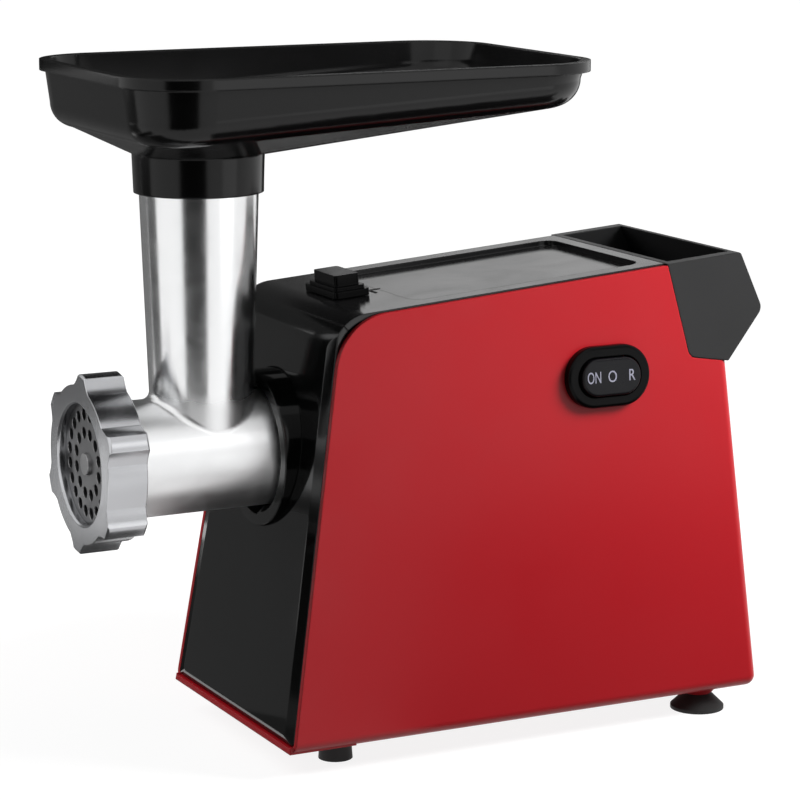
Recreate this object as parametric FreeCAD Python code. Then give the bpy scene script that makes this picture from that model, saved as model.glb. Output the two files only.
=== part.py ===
import FreeCAD, Part
import math
import os

V = FreeCAD.Vector

# An electric meat grinder as separate named pieces.
# All sizes are in millimetres and degrees.
# While it is drawn, x = 0 is the toe of the body and x grows to the rear,
# y = 0 is the middle plane with the switch on the minus side, and z = 0 is the underside.
# place_all() then moves every piece so that the origin is under the middle of the whole part.

# Body
BODY_LENGTH = 249.7
BODY_WIDTH = 140.0
TOP_ABOVE_AXIS = 67.3
FRONT_RAKE = 8.95
REAR_RAKE = 5.2
SIDE_LEAN = 3.9
TOP_RISE = 4.4
SHELL_WALL = 2.6
SHELL_EDGE_RADIUS = 5.0
SHELL_CORNER_RADIUS = 28.0
FIT_GAP = 0.25

# Front panel and top cover
RIM_SETBACK = 1.5
PANEL_WALL = 3.0
PANEL_BEVEL = 7.0
PANEL_LIP = 3.2
SEAM_DROP = 19.0
COVER_RADIUS = 19.0
COVER_WALL = 3.0
COVER_TOP_STEP = 0.8
RECESS_START = 44.0
RECESS_DEPTH = 2.5
RECESS_HALF_WIDTH = 44.0
RECESS_RADIUS = 7.0
BAR_WIDTH = 7.2

# Rear grip
GRIP_FRONT = 202.4
GRIP_CHEEK_DEPTH = 44.8
GRIP_CHEEK_SLANT = 11.2
GRIP_REAR_DEPTH = 48.3
GRIP_NOSE_DEPTH = 24.5
GRIP_NOSE_REACH = 19.5
GRIP_TOP_LENGTH = 40.5
GRIP_WALL = 3.2
GRIP_CHEEK_WALL = 6.0
GRIP_CORNER_RADIUS = 5.0

# Feet
FOOT_DROP = 12.0
FRONT_FOOT_X = 33.3
FRONT_FOOT_Y = 45.0
FRONT_FOOT_RADIUS = 8.0
REAR_FOOT_X = 225.0
REAR_FOOT_Y = 53.0
REAR_FOOT_RADIUS = 13.0
FOOT_BOSS_DROP = 4.0
FOOT_SCREW_RADIUS = 2.0
FOOT_SCREW_REACH = 9.0

# Grinding head, along the barrel axis
AXIS_HEIGHT = 128.0
HEAD_REACH = 73.0
BARREL_RADIUS = 27.0
BARREL_WALL = 3.4
RING_LIP = 4.2
RING_LENGTH = 19.0
RING_OPENING_RADIUS = 27.6
RING_WALL = 2.6
LOBE_COUNT = 6
LOBE_HEIGHT = 5.4
LOBE_HALF_ANGLE = 5.0
LOBE_FOOT_ANGLE = 14.0
LOBE_TURN = 7.0
PLATE_RADIUS = 30.6
PLATE_THICKNESS = 5.0
PLATE_STANDOUT = 1.5
PLATE_HOLE_RADIUS = 2.7
INNER_HOLES = 12
INNER_HOLE_CIRCLE = 14.3
OUTER_HOLES = 20
OUTER_HOLE_CIRCLE = 22.6
KEY_RADIUS = 2.0
KNIFE_THICKNESS = 6.5
KNIFE_BLADES = 4
MOUTH_WALL = 2.7
FLARE_STEEPNESS = 0.4
THREAD_GAP = 0.35
RUN_GAP = 0.35
JOURNAL_GAP = 0.05
PILOT_RADIUS = 5.0
STUD_WIDTH = 12.0
AUGER_CORE_RADIUS = 9.0
AUGER_PITCH = 26.0
FLIGHT_ROOT = 6.0
FLIGHT_TIP = 3.4
AUGER_SHOULDER = 2.0
TANG_WIDTH = 13.0
TANG_LENGTH = 16.0
END_WALL = 9.0
BUSH_WALL = 3.0
WASHER_THICKNESS = 2.0

# Feed tube and hopper tray
TUBE_X = -12.6
TUBE_TOP = 262.0
TUBE_TOP_RADIUS = 27.6
TUBE_FOOT_RADIUS = 23.0
TUBE_WALL = 3.0
TUBE_FILLET = 4.0
TRAY_FRONT_REACH = 56.5
TRAY_REAR_REACH = 172.5
TRAY_WIDTH = 158.4
TRAY_RIM_HEIGHT = 306.6
TRAY_CORNER_RADIUS = 34.0
TRAY_RIM_BAND = 5.0
TRAY_RIM_STEP = 2.0
TRAY_DEPTH = 20.0
TRAY_FRONT_DEPTH = 32.0
TRAY_DRAFT = 2.5
TRAY_EDGE_RADIUS = 12.0
TRAY_WALL = 2.4
EDGE_STEPS = 4
EDGE_TURN = 76.0
NECK_BOTTOM = 249.0
NECK_TOP = 266.7
NECK_WALL = 2.2
NECK_DRAFT = 0.6

# Bayonet socket
SOCKET_FRONT = 13.0
SOCKET_WALL = 8.6
SOCKET_LENGTH = 31.0
SOCKET_FLANGE = 4.0
SOCKET_LIP = 12.0
SOCKET_CHAMFER = 3.0
LUG_COUNT = 3
LUG_HEIGHT = 4.0
LUG_THICKNESS = 5.0
LUG_ARC = 40.0
LUG_TURN = 45.0
LUG_CLEAR_ARC = 3.0

# Lock
LOCK_U = 26.0
LOCK_BASE_LENGTH = 18.0
LOCK_BASE_WIDTH = 34.0
LOCK_BASE_HEIGHT = 3.6
LOCK_GRIP_LENGTH = 12.5
LOCK_GRIP_WIDTH = 24.0
LOCK_GRIP_HEIGHT = 6.8
LOCK_TRAVEL = 6.0
LOCK_LEG_WIDTH = 7.0
LOCK_LEG_THICKNESS = 4.0
LOCK_FINGER_HEIGHT = 3.0

# Gears
PRESSURE_ANGLE = 20.0
BACKLASH = 0.16
MOTOR_TEETH = 10
FIRST_TEETH = 50
FIRST_MODULE = 1.0
FIRST_SHIFT = 0.4
FIRST_PINION_TEETH = 12
SECOND_TEETH = 48
SECOND_MODULE = 1.25
SECOND_SHIFT = 0.3
SECOND_PINION_TEETH = 14
OUTPUT_TEETH = 54
OUTPUT_MODULE = 1.5
OUTPUT_SHIFT = 0.2
OUTPUT_FACE = 14.0
SECOND_FACE = 10.0
FIRST_FACE = 8.0
STAGE_GAP = 3.0
PIN_RADIUS = 4.0
OUTPUT_SHAFT_RADIUS = 8.0
OUTPUT_TAIL_RADIUS = 6.0
GEARBOX_STANDOFF = 24.0
GEARBOX_WALL = 3.5
GEARBOX_CLEAR = 1.6
COVER_PLATE = 4.0
BOLT_RADIUS = 2.0
BOLT_HEAD_EDGE = 1.8
BOLT_HEAD_RISE = 2.4
CASE_SCREW_LENGTH = 12.0
SOCKET_SCREW_LENGTH = 10.0
CHASSIS_SCREW_LENGTH = 9.0

# Motor
STATOR_RADIUS = 38.0
STATOR_LENGTH = 40.0
BORE_RADIUS = 23.0
AIR_GAP = 0.6
COIL_OVERHANG = 9.0
SLOT_COUNT = 12
SLOT_DEPTH = 8.0
SLOT_WIDTH = 2.6
MOTOR_SHAFT_RADIUS = 4.0
BEARING_RADIUS = 8.0
BEARING_WIDTH = 6.0
FAN_RADIUS = 33.0
FAN_WIDTH = 9.0
FAN_BLADES = 9
COMMUTATOR_RADIUS = 11.0
COMMUTATOR_LENGTH = 14.0
BRACKET_THICKNESS = 6.0
MOTOR_GAP = 3.0
BRUSH_WIDTH = 7.0
BRUSH_LENGTH = 14.0
CRADLE_LENGTH = 30.0
CRADLE_PAD = 5.0
CRADLE_START = 232.0
CRADLE_ARC = 24.0
CRADLE_LEG_WIDTH = 8.0

# Switch
SWITCH_X = 167.0
SWITCH_HEIGHT = 158.7
BEZEL_LENGTH = 44.0
BEZEL_HEIGHT = 29.0
BEZEL_PROUD = 4.5
BEZEL_LEDGE = 3.4
ROCKER_END_GAP = 1.2
ROCKER_SIDE_GAP = 0.6
BEZEL_SPIGOT_WALL = 1.4
ROCKER_PROUD = 2.2
ROCKER_PIVOT_DEPTH = 4.0
ROCKER_RELIEF = 14.0
SWITCH_BODY_DEPTH = 24.0

# Rear wall
GLAND_HEIGHT = 26.0
GLAND_Y = 34.0
GLAND_RADIUS = 8.0
GLAND_BORE = 3.6
GLAND_LENGTH = 14.0
VENT_COUNT = 7
VENT_LENGTH = 58.0
VENT_WIDTH = 3.0
VENT_PITCH = 8.0
VENT_START = 62.0


# Plane geometry

def turn_point(radius, angle):
    """Return the y and z offsets of a point on a circle, the angle in degrees from y to z."""
    return radius * math.cos(math.radians(angle)), radius * math.sin(math.radians(angle))


def inset_polygon(points, insets):
    """Move each side of a polygon, listed with its inside on the left, inward by its own inset."""
    lines = []
    count = len(points)
    for index in range(count):
        ax, ay = points[index]
        bx, by = points[(index + 1) % count]
        length = math.hypot(bx - ax, by - ay)
        ux, uy = (bx - ax) / length, (by - ay) / length
        lines.append((ax - uy * insets[index], ay + ux * insets[index], ux, uy))
    corners = []
    for index in range(count):
        px, py, ux, uy = lines[index - 1]
        qx, qy, wx, wy = lines[index]
        step = ((qx - px) * wy - (qy - py) * wx) / (ux * wy - uy * wx)
        corners.append((px + ux * step, py + uy * step))
    return corners


def rounded_wire(points, radii, place):
    """Closed wire through plane points, each corner rounded by its radius, set in space by place()."""
    count = len(points)
    ends = []
    for index in range(count):
        point = FreeCAD.Vector(points[index][0], points[index][1], 0)
        before = FreeCAD.Vector(points[index - 1][0], points[index - 1][1], 0) - point
        after = FreeCAD.Vector(points[(index + 1) % count][0], points[(index + 1) % count][1], 0) - point
        before.normalize()
        after.normalize()
        radius = radii[index]
        if radius <= 0:
            ends.append((point, None, point))
            continue
        half = before.getAngle(after) / 2
        reach = radius / math.tan(half)
        middle = before + after
        middle.normalize()
        ends.append((point + before * reach,
                     point + middle * (radius / math.sin(half) - radius),
                     point + after * reach))
    edges = []
    for index in range(count):
        start, middle, finish = ends[index]
        last = ends[index - 1][2]
        if (start - last).Length > 1e-6:
            edges.append(Part.LineSegment(place(last.x, last.y), place(start.x, start.y)).toShape())
        if middle is not None:
            arc = Part.Arc(place(start.x, start.y), place(middle.x, middle.y), place(finish.x, finish.y))
            edges.append(arc.toShape())
    return Part.Wire(edges)


def prism_y(points, half_width, radii=None):
    """Solid with an x and z outline, running across the part."""
    radii = radii or [0] * len(points)
    wire = rounded_wire(points, radii, lambda a, b: V(a, -half_width, b))
    return Part.Face(wire).extrude(V(0, 2 * half_width, 0))


def prism_x(points, start, end, radii=None):
    """Solid with a y and z outline, running along the part."""
    radii = radii or [0] * len(points)
    wire = rounded_wire(points, radii, lambda a, b: V(start, a, b))
    return Part.Face(wire).extrude(V(end - start, 0, 0))


def slab(length, width, height, radius, base=0.0):
    """Rounded block on the local xy plane, centred, from base upward."""
    points = [(-length / 2, -width / 2), (length / 2, -width / 2), (length / 2, width / 2),
              (-length / 2, width / 2)]
    wire = rounded_wire(points, [radius] * 4, lambda a, b: V(a, b, base))
    return Part.Face(wire).extrude(V(0, 0, height))


def oval(length, height, base, rise):
    """Block with round ends on the local xy plane, from base upward."""
    return slab(length, height, rise, height / 2 - 0.1, base)


def rod_x(radius, start, end, y=0.0, z=AXIS_HEIGHT):
    """Round bar along x."""
    return Part.makeCylinder(radius, end - start, V(start, y, z), V(1, 0, 0))


def tube_x(outer, inner, start, end, y=0.0, z=AXIS_HEIGHT):
    """Round tube along x."""
    return rod_x(outer, start, end, y, z).cut(rod_x(inner, start - 1, end + 1, y, z))


def cone_x(first, last, start, end, z=AXIS_HEIGHT):
    """Cone along x."""
    return Part.makeCone(first, last, end - start, V(start, 0, z), V(1, 0, 0))


def cone_z(first, last, x, y, start, end):
    """Upright cone, or a plain cylinder when both radii agree."""
    if abs(first - last) < 1e-6:
        return Part.makeCylinder(first, end - start, V(x, y, start))
    return Part.makeCone(first, last, end - start, V(x, y, start), V(0, 0, 1))


def sector_x(outer, inner, start, end, first, last, y=0.0, z=AXIS_HEIGHT):
    """Part of a tube along x between two angles, in degrees from y to z."""
    points = []
    for radius, angle in ((inner, first), (outer, first), (outer, last), (inner, last)):
        points.append(turn_point(radius, angle))
    middle = (first + last) / 2
    outer_middle = turn_point(outer, middle)
    inner_middle = turn_point(inner, middle)

    def spot(pair):
        return V(start, y + pair[0], z + pair[1])

    edges = [Part.LineSegment(spot(points[0]), spot(points[1])).toShape(),
             Part.Arc(spot(points[1]), spot(outer_middle), spot(points[2])).toShape(),
             Part.LineSegment(spot(points[2]), spot(points[3])).toShape(),
             Part.Arc(spot(points[3]), spot(inner_middle), spot(points[0])).toShape()]
    return Part.Face(Part.Wire(edges)).extrude(V(end - start, 0, 0))


def block(x0, x1, y0, y1, z0, z1):
    """Box between two corners."""
    return Part.makeBox(x1 - x0, y1 - y0, z1 - z0, V(x0, y0, z0))


def moved(shape, origin, across, upward, outward):
    """Copy of a shape drawn in a local frame, set in space by that frame's origin and axes."""
    matrix = FreeCAD.Matrix(across.x, upward.x, outward.x, origin.x,
                            across.y, upward.y, outward.y, origin.y,
                            across.z, upward.z, outward.z, origin.z,
                            0, 0, 0, 1)
    copy = shape.copy()
    copy.Placement = FreeCAD.Placement(matrix).multiply(copy.Placement)
    return copy


def joined(shapes):
    """Fuse shapes into one and clear the seams between them."""
    first = shapes[0]
    if len(shapes) == 1:
        return first
    return first.fuse(shapes[1:]).removeSplitter()


def edges_between(shape, first_normal, second_normal):
    """Edges where a flat face facing one way meets a flat face facing another way."""
    found = []
    for edge in shape.Edges:
        hits = set()
        for face in shape.ancestorsOfType(edge, Part.Face):
            if face.Surface.TypeId != "Part::GeomPlane":
                continue
            normal = face.normalAt(0, 0)
            if normal.getAngle(first_normal) < 0.02:
                hits.add(1)
            if normal.getAngle(second_normal) < 0.02:
                hits.add(2)
        if len(hits) == 2:
            found.append(edge)
    return found


# Lines and frames of the body

RAKE = math.radians(FRONT_RAKE)
RISE = math.radians(TOP_RISE)
LEAN = math.radians(SIDE_LEAN)
BACK = math.radians(REAR_RAKE)
FRONT_HEIGHT = AXIS_HEIGHT + TOP_ABOVE_AXIS
FRONT_TOP_X = FRONT_HEIGHT * math.tan(RAKE)
FRONT_UP = V(math.sin(RAKE), 0, math.cos(RAKE))
FRONT_OUT = V(-math.cos(RAKE), 0, math.sin(RAKE))
TOP_ALONG = V(math.cos(RISE), 0, math.sin(RISE))
TOP_OUT = V(-math.sin(RISE), 0, math.cos(RISE))
REAR_OUT = V(math.cos(BACK), 0, math.sin(BACK))
REAR_UP = V(-math.sin(BACK), 0, math.cos(BACK))
LEFT_OUT = V(0, -math.cos(LEAN), math.sin(LEAN))
LEFT_UP = V(0, math.sin(LEAN), math.cos(LEAN))
RIGHT_OUT = V(0, math.cos(LEAN), math.sin(LEAN))
TOP_CORNER = V(FRONT_TOP_X, 0, FRONT_HEIGHT)
SEAM_ALONG = (FRONT_UP + TOP_ALONG).normalize()
SEAM_IN = V(0, 1, 0).cross(SEAM_ALONG)
PANEL_TOP = FRONT_HEIGHT / math.cos(RAKE) - SEAM_DROP
FAR = 400.0


def top_z(x):
    """Height of the top surface."""
    return FRONT_HEIGHT + (x - FRONT_TOP_X) * math.tan(RISE)


def rear_x(z):
    """Place of the rear wall's outside at a height."""
    return BODY_LENGTH - z * math.tan(BACK)


def half_width(z, inset=0.0):
    """Half the body's width at a height, less an inset square to the side."""
    return BODY_WIDTH / 2 - z * math.tan(LEAN) - inset / math.cos(LEAN)


def side_outline():
    """Sharp outline of the body from the side: toe, heel, rear top, front top."""
    reach = (FRONT_HEIGHT - FRONT_TOP_X * math.tan(RISE)) + BODY_LENGTH * math.tan(RISE)
    rear_top = reach / (1 + math.tan(BACK) * math.tan(RISE))
    return [(0.0, 0.0), (BODY_LENGTH, 0.0), (rear_x(rear_top), rear_top), (FRONT_TOP_X, FRONT_HEIGHT)]


def between_sides(inset, bottom=-FAR, top=FAR):
    """Long prism as wide as the body less an inset on each side."""
    points = [(-half_width(bottom, inset), bottom), (half_width(bottom, inset), bottom),
              (half_width(top, inset), top), (-half_width(top, inset), top)]
    return prism_x(points, -FAR, FAR)


def grip_outline():
    """Outline of the grip from the side: lower front, lower rear, nose, top rear, top front."""
    top = top_z(GRIP_FRONT)
    lower_rear = top - GRIP_REAR_DEPTH
    nose_height = top - GRIP_NOSE_DEPTH
    wall = rear_x(lower_rear)
    top_rear = GRIP_FRONT + GRIP_TOP_LENGTH
    return [(GRIP_FRONT + GRIP_CHEEK_SLANT, top - GRIP_CHEEK_DEPTH),
            (wall, lower_rear),
            (wall + GRIP_NOSE_REACH, nose_height),
            (top_rear, top_z(top_rear)),
            (GRIP_FRONT, top)]


SWITCH_SPOT = V(SWITCH_X, -half_width(SWITCH_HEIGHT), SWITCH_HEIGHT)
BARREL_REAR = SOCKET_FRONT + SOCKET_LIP + LUG_THICKNESS + 5.0
SOCKET_REAR = SOCKET_FRONT + SOCKET_LENGTH
SOCKET_BORE = BARREL_RADIUS + 2 * RUN_GAP
SOCKET_OUTER = SOCKET_BORE + SOCKET_WALL
LUG_FRONT = SOCKET_FRONT + SOCKET_LIP + RUN_GAP
LUG_RADIUS = BARREL_RADIUS + LUG_HEIGHT
GROOVE_RADIUS = LUG_RADIUS + RUN_GAP


# Body pieces

def body_block(inset, radius):
    """Solid body form, less a wall all round and open at front and top when inset is given."""
    if inset > 0:
        outline = inset_polygon(side_outline(), [inset, inset, -FAR / 4, -FAR / 4])
    else:
        outline = inset_polygon(side_outline(), [0, 0, COVER_TOP_STEP, RIM_SETBACK])
    form = prism_y(outline, FAR / 2).common(between_sides(inset))
    down = V(0, 0, -1)
    edges = edges_between(form, down, LEFT_OUT) + edges_between(form, down, RIGHT_OUT)
    edges += edges_between(form, REAR_OUT, LEFT_OUT) + edges_between(form, REAR_OUT, RIGHT_OUT)
    edges += edges_between(form, REAR_OUT, down)
    if radius > 0:
        form = form.makeFillet(radius, edges)
    if inset == 0:
        form = form.makeFillet(SHELL_CORNER_RADIUS, edges_between(form, FRONT_OUT, TOP_OUT))
    return form


def foot_spots():
    """Centres of the four feet, front left, front right, rear left, rear right."""
    return {"front_left_foot": (FRONT_FOOT_X, -FRONT_FOOT_Y), "front_right_foot": (FRONT_FOOT_X, FRONT_FOOT_Y),
            "rear_left_foot": (REAR_FOOT_X, -REAR_FOOT_Y), "rear_right_foot": (REAR_FOOT_X, REAR_FOOT_Y)}


def foot_boss(name, x, y):
    """Boss under the shell that a foot fits on."""
    front = name.startswith("front")
    wide = FRONT_FOOT_RADIUS - 1.0 if front else REAR_FOOT_RADIUS - 2.5
    narrow = FRONT_FOOT_RADIUS - 1.0 if front else REAR_FOOT_RADIUS - 6.0
    rise = FOOT_SCREW_REACH
    boss = cone_z(narrow, wide, x, y, -FOOT_BOSS_DROP, 0.0)
    return boss.fuse(Part.makeCylinder(wide, rise, V(x, y, 0)))


def make_body_shell():
    """Red U-shaped shell: sides, underside, rear wall, foot bosses, vents and openings."""
    outer = body_block(0.0, SHELL_EDGE_RADIUS)
    lip_points = inset_polygon(side_outline(), [0, 0, 0, 0])
    lip = prism_y(lip_points, FAR / 2).common(between_sides(0.0))
    lip = lip.common(block(-FAR, FRONT_FOOT_X, -FAR, FAR, -1, PANEL_LIP))
    down = V(0, 0, -1)
    lip = lip.makeFillet(PANEL_LIP - 0.6, edges_between(lip, down, LEFT_OUT) + edges_between(lip, down, RIGHT_OUT))
    lip = lip.common(between_sides(SHELL_EDGE_RADIUS - SHELL_WALL))
    bosses = [foot_boss(name, x, y) for name, (x, y) in foot_spots().items()]
    shell = joined([outer, lip] + bosses)
    hollow = body_block(SHELL_WALL, SHELL_EDGE_RADIUS - SHELL_WALL)
    shell = shell.cut(hollow)
    notch = inset_polygon(grip_outline(), [-FIT_GAP, -FIT_GAP, -FIT_GAP, -FIT_GAP, -FIT_GAP])
    notch[3] = (notch[3][0] + FAR / 4, notch[3][1] + FAR / 4)
    notch[4] = (notch[4][0] - (FAR / 4) * GRIP_CHEEK_SLANT / GRIP_CHEEK_DEPTH, notch[4][1] + FAR / 4)
    notch[2] = (notch[2][0] + FAR / 4, notch[2][1])
    notch[1] = (notch[1][0] + 30.0, notch[1][1] - 30.0 * (GRIP_REAR_DEPTH - GRIP_CHEEK_DEPTH) / 22.0)
    cuts = [prism_y(notch, FAR / 2, [GRIP_CORNER_RADIUS, 0, 0, 0, 0])]
    opening = oval(BEZEL_LENGTH - 2 * BEZEL_LEDGE, BEZEL_HEIGHT - 2 * BEZEL_LEDGE, -15.0, 30.0)
    cuts.append(moved(opening, SWITCH_SPOT, V(1, 0, 0), LEFT_UP, LEFT_OUT))
    for row in range(VENT_COUNT):
        height = VENT_START + row * VENT_PITCH
        vent = slab(VENT_LENGTH, VENT_WIDTH, 30.0, VENT_WIDTH / 2 - 0.05, -15.0)
        cuts.append(moved(vent, V(rear_x(height), 0, height), V(0, 1, 0), REAR_UP, REAR_OUT))
    gland = Part.makeCylinder(GLAND_RADIUS - 1.5, 30.0, V(0, 0, -15))
    cuts.append(moved(gland, V(rear_x(GLAND_HEIGHT), GLAND_Y, GLAND_HEIGHT), V(0, 1, 0), REAR_UP, REAR_OUT))
    for name, (x, y) in foot_spots().items():
        cuts.append(Part.makeCylinder(FOOT_SCREW_RADIUS, 40.0, V(x, y, -20)))
    return shell.cut(cuts)


def panel_form(high, wall):
    """Front plate up to a height along the front, with a shallow bevel at its sides and foot."""
    low = PANEL_LIP + FIT_GAP
    side = SHELL_WALL + FIT_GAP
    corner = SHELL_EDGE_RADIUS - SHELL_WALL
    base = [(-half_width(low * math.cos(RAKE), side), low), (half_width(low * math.cos(RAKE), side), low),
            (half_width(high * math.cos(RAKE), side), high), (-half_width(high * math.cos(RAKE), side), high)]
    face = inset_polygon(base, [PANEL_BEVEL / 2, PANEL_BEVEL, 0, PANEL_BEVEL])
    radii = [corner, corner, 0, 0]
    lower = rounded_wire(base, radii, lambda a, b: V(a, b, -RIM_SETBACK))
    upper = rounded_wire(face, radii, lambda a, b: V(a, b, 0))
    crown = Part.makeLoft([lower, upper], True, True)
    plate = Part.Face(rounded_wire(base, radii, lambda a, b: V(a, b, -RIM_SETBACK - wall)))
    plate = plate.extrude(V(0, 0, wall))
    return moved(joined([crown, plate]), V(0, 0, 0), V(0, -1, 0), FRONT_UP, FRONT_OUT)


def rolled_band():
    """Wall that rises from the front plate, rolls over the front edge and runs back to the grip."""
    outline = side_outline()
    start = (PANEL_TOP * math.sin(RAKE), PANEL_TOP * math.cos(RAKE))
    end = (GRIP_FRONT - FIT_GAP, top_z(GRIP_FRONT - FIT_GAP))
    inner = inset_polygon(outline, [0, 0, COVER_WALL, COVER_WALL])[3]
    points = [(start[0] + COVER_WALL * math.cos(RAKE), start[1] - COVER_WALL * math.sin(RAKE)),
              inner,
              (end[0], end[1] - COVER_WALL / math.cos(RISE)),
              end, outline[3], start]
    radii = [0, COVER_RADIUS - COVER_WALL, 0, 0, COVER_RADIUS, 0]
    return prism_y(list(reversed(points)), FAR / 2, list(reversed(radii)))


def beside_seam(low, high):
    """Space between two distances from the seam, which splits the rolled edge through its middle."""
    space = block(-FAR / 2, FAR / 2, -FAR / 2, FAR / 2, low, high)
    return moved(space, TOP_CORNER, SEAM_IN, V(0, 1, 0), SEAM_ALONG)


def make_front_panel():
    """Black front plate that turns in at the top as far as the seam, with a round hole for the socket."""
    turned = rolled_band().common(beside_seam(-FAR / 2, -FIT_GAP / 2))
    turned = turned.common(panel_form(PANEL_TOP + 2 * SEAM_DROP, PANEL_WALL + COVER_RADIUS))
    panel = joined([panel_form(PANEL_TOP, PANEL_WALL), turned])
    return panel.cut(rod_x(SOCKET_OUTER + FIT_GAP, -FAR, FAR))


def make_top_cover():
    """Black cover from the seam in the rolled edge to the grip, with a shallow recess and the lock's slot."""
    cover = rolled_band().common(beside_seam(FIT_GAP / 2, FAR))
    finish = (GRIP_FRONT - FIT_GAP - FRONT_TOP_X) / math.cos(RISE)
    length = finish - BAR_WIDTH - RECESS_START
    middle = RECESS_START + length / 2
    centre = TOP_CORNER + TOP_ALONG * middle
    pan = slab(length + 2 * COVER_WALL, 2 * (RECESS_HALF_WIDTH + COVER_WALL), COVER_WALL,
               RECESS_RADIUS + COVER_WALL, -RECESS_DEPTH - COVER_WALL)
    cover = joined([cover, moved(pan, centre, TOP_ALONG, V(0, 1, 0), TOP_OUT)])
    cover = cover.common(between_sides(SHELL_WALL + FIT_GAP))
    recess = slab(length, 2 * RECESS_HALF_WIDTH, RECESS_DEPTH + 5, RECESS_RADIUS, -RECESS_DEPTH)
    slot = slab(LOCK_LEG_THICKNESS + LOCK_TRAVEL + 2.0, LOCK_LEG_WIDTH + 1.4, 20.0, 1.0, -15.0)
    slot.translate(V(LOCK_TRAVEL / 2, 0, 0))
    return cover.cut([moved(recess, centre, TOP_ALONG, V(0, 1, 0), TOP_OUT),
                      moved(slot, TOP_CORNER + TOP_ALONG * LOCK_U, TOP_ALONG, V(0, 1, 0), TOP_OUT)])


def make_rear_grip():
    """Carrying grip at the rear top: two cheeks, a bar and a finger pocket open at the top."""
    outline = grip_outline()
    grip = prism_y(outline, FAR / 2, [GRIP_CORNER_RADIUS, 1.0, GRIP_CORNER_RADIUS, 2.0, 0])
    grip = grip.common(between_sides(0.0))
    pocket = inset_polygon(outline, [GRIP_WALL, GRIP_WALL, GRIP_WALL, -FAR / 8, GRIP_WALL])
    pocket = prism_y(pocket, FAR / 2, [GRIP_CORNER_RADIUS - 1, 2.0, 3.0, 0, 0])
    pocket = pocket.common(between_sides(GRIP_CHEEK_WALL))
    return grip.cut(pocket)


def make_foot(name):
    """Rubber foot: a plain stub at the front, a suction cup at the rear."""
    x, y = foot_spots()[name]
    top = -FOOT_BOSS_DROP
    if name.startswith("front"):
        foot = Part.makeCone(FRONT_FOOT_RADIUS, FRONT_FOOT_RADIUS - 0.6, FOOT_DROP - FOOT_BOSS_DROP,
                             V(x, y, -FOOT_DROP), V(0, 0, 1))
        foot = foot.cut(Part.makeCylinder(FRONT_FOOT_RADIUS - 3.5, 3.0, V(x, y, -FOOT_DROP)))
    else:
        neck = REAR_FOOT_RADIUS - 6.5
        rim = 1.6
        drop = FOOT_DROP - FOOT_BOSS_DROP
        foot = joined([Part.makeCylinder(REAR_FOOT_RADIUS, rim, V(x, y, -FOOT_DROP)),
                       Part.makeCone(REAR_FOOT_RADIUS, neck, drop - rim, V(x, y, -FOOT_DROP + rim), V(0, 0, 1))])
        hollow = Part.makeCone(REAR_FOOT_RADIUS - 2.5, FOOT_SCREW_RADIUS + 2.0, drop - 4.0,
                               V(x, y, -FOOT_DROP), V(0, 0, 1))
        foot = foot.cut(hollow)
    return foot.cut(Part.makeCylinder(FOOT_SCREW_RADIUS, 40.0, V(x, y, top - 20)))


def make_foot_screws():
    """Screws that hold the feet, one per foot."""
    screws = []
    for name, (x, y) in foot_spots().items():
        depth = 3.0 if name.startswith("front") else FOOT_DROP - FOOT_BOSS_DROP - 4.0
        seat = -FOOT_DROP + depth
        head = Part.makeCylinder(FOOT_SCREW_RADIUS + 1.6, 1.6, V(x, y, seat - 1.6))
        shank = Part.makeCylinder(FOOT_SCREW_RADIUS, FOOT_SCREW_REACH - seat, V(x, y, seat))
        screws.append(joined([head, shank]))
    return screws


# Grinding head

RING_FRONT = -HEAD_REACH
PLATE_FRONT = RING_FRONT + RING_LIP
PLATE_REAR = PLATE_FRONT + PLATE_THICKNESS
KNIFE_FRONT = PLATE_REAR + JOURNAL_GAP
KNIFE_REAR = KNIFE_FRONT + KNIFE_THICKNESS
BARREL_FRONT = PLATE_FRONT + PLATE_STANDOUT
MOUTH_FLOOR = KNIFE_REAR + 1.0
MOUTH_RADIUS = PLATE_RADIUS + FIT_GAP
THREAD_RADIUS = MOUTH_RADIUS + MOUTH_WALL
RING_BORE = THREAD_RADIUS + THREAD_GAP
RING_RADIUS = RING_BORE + RING_WALL
BARREL_BORE = BARREL_RADIUS - BARREL_WALL
AUGER_RADIUS = BARREL_BORE - RUN_GAP
END_WALL_FRONT = BARREL_REAR - END_WALL
AUGER_REAR = END_WALL_FRONT - WASHER_THICKNESS
BUSH_OUTER = AUGER_CORE_RADIUS + JOURNAL_GAP + BUSH_WALL


def lug_angles(turn=0.0):
    """Start angles of the bayonet lugs, the first one just past the lock's finger."""
    finger_half = math.degrees(math.asin((LOCK_LEG_WIDTH / 2 + 1.0) / BARREL_RADIUS))
    return [90.0 + finger_half + turn + index * 360.0 / LUG_COUNT for index in range(LUG_COUNT)]


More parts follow.
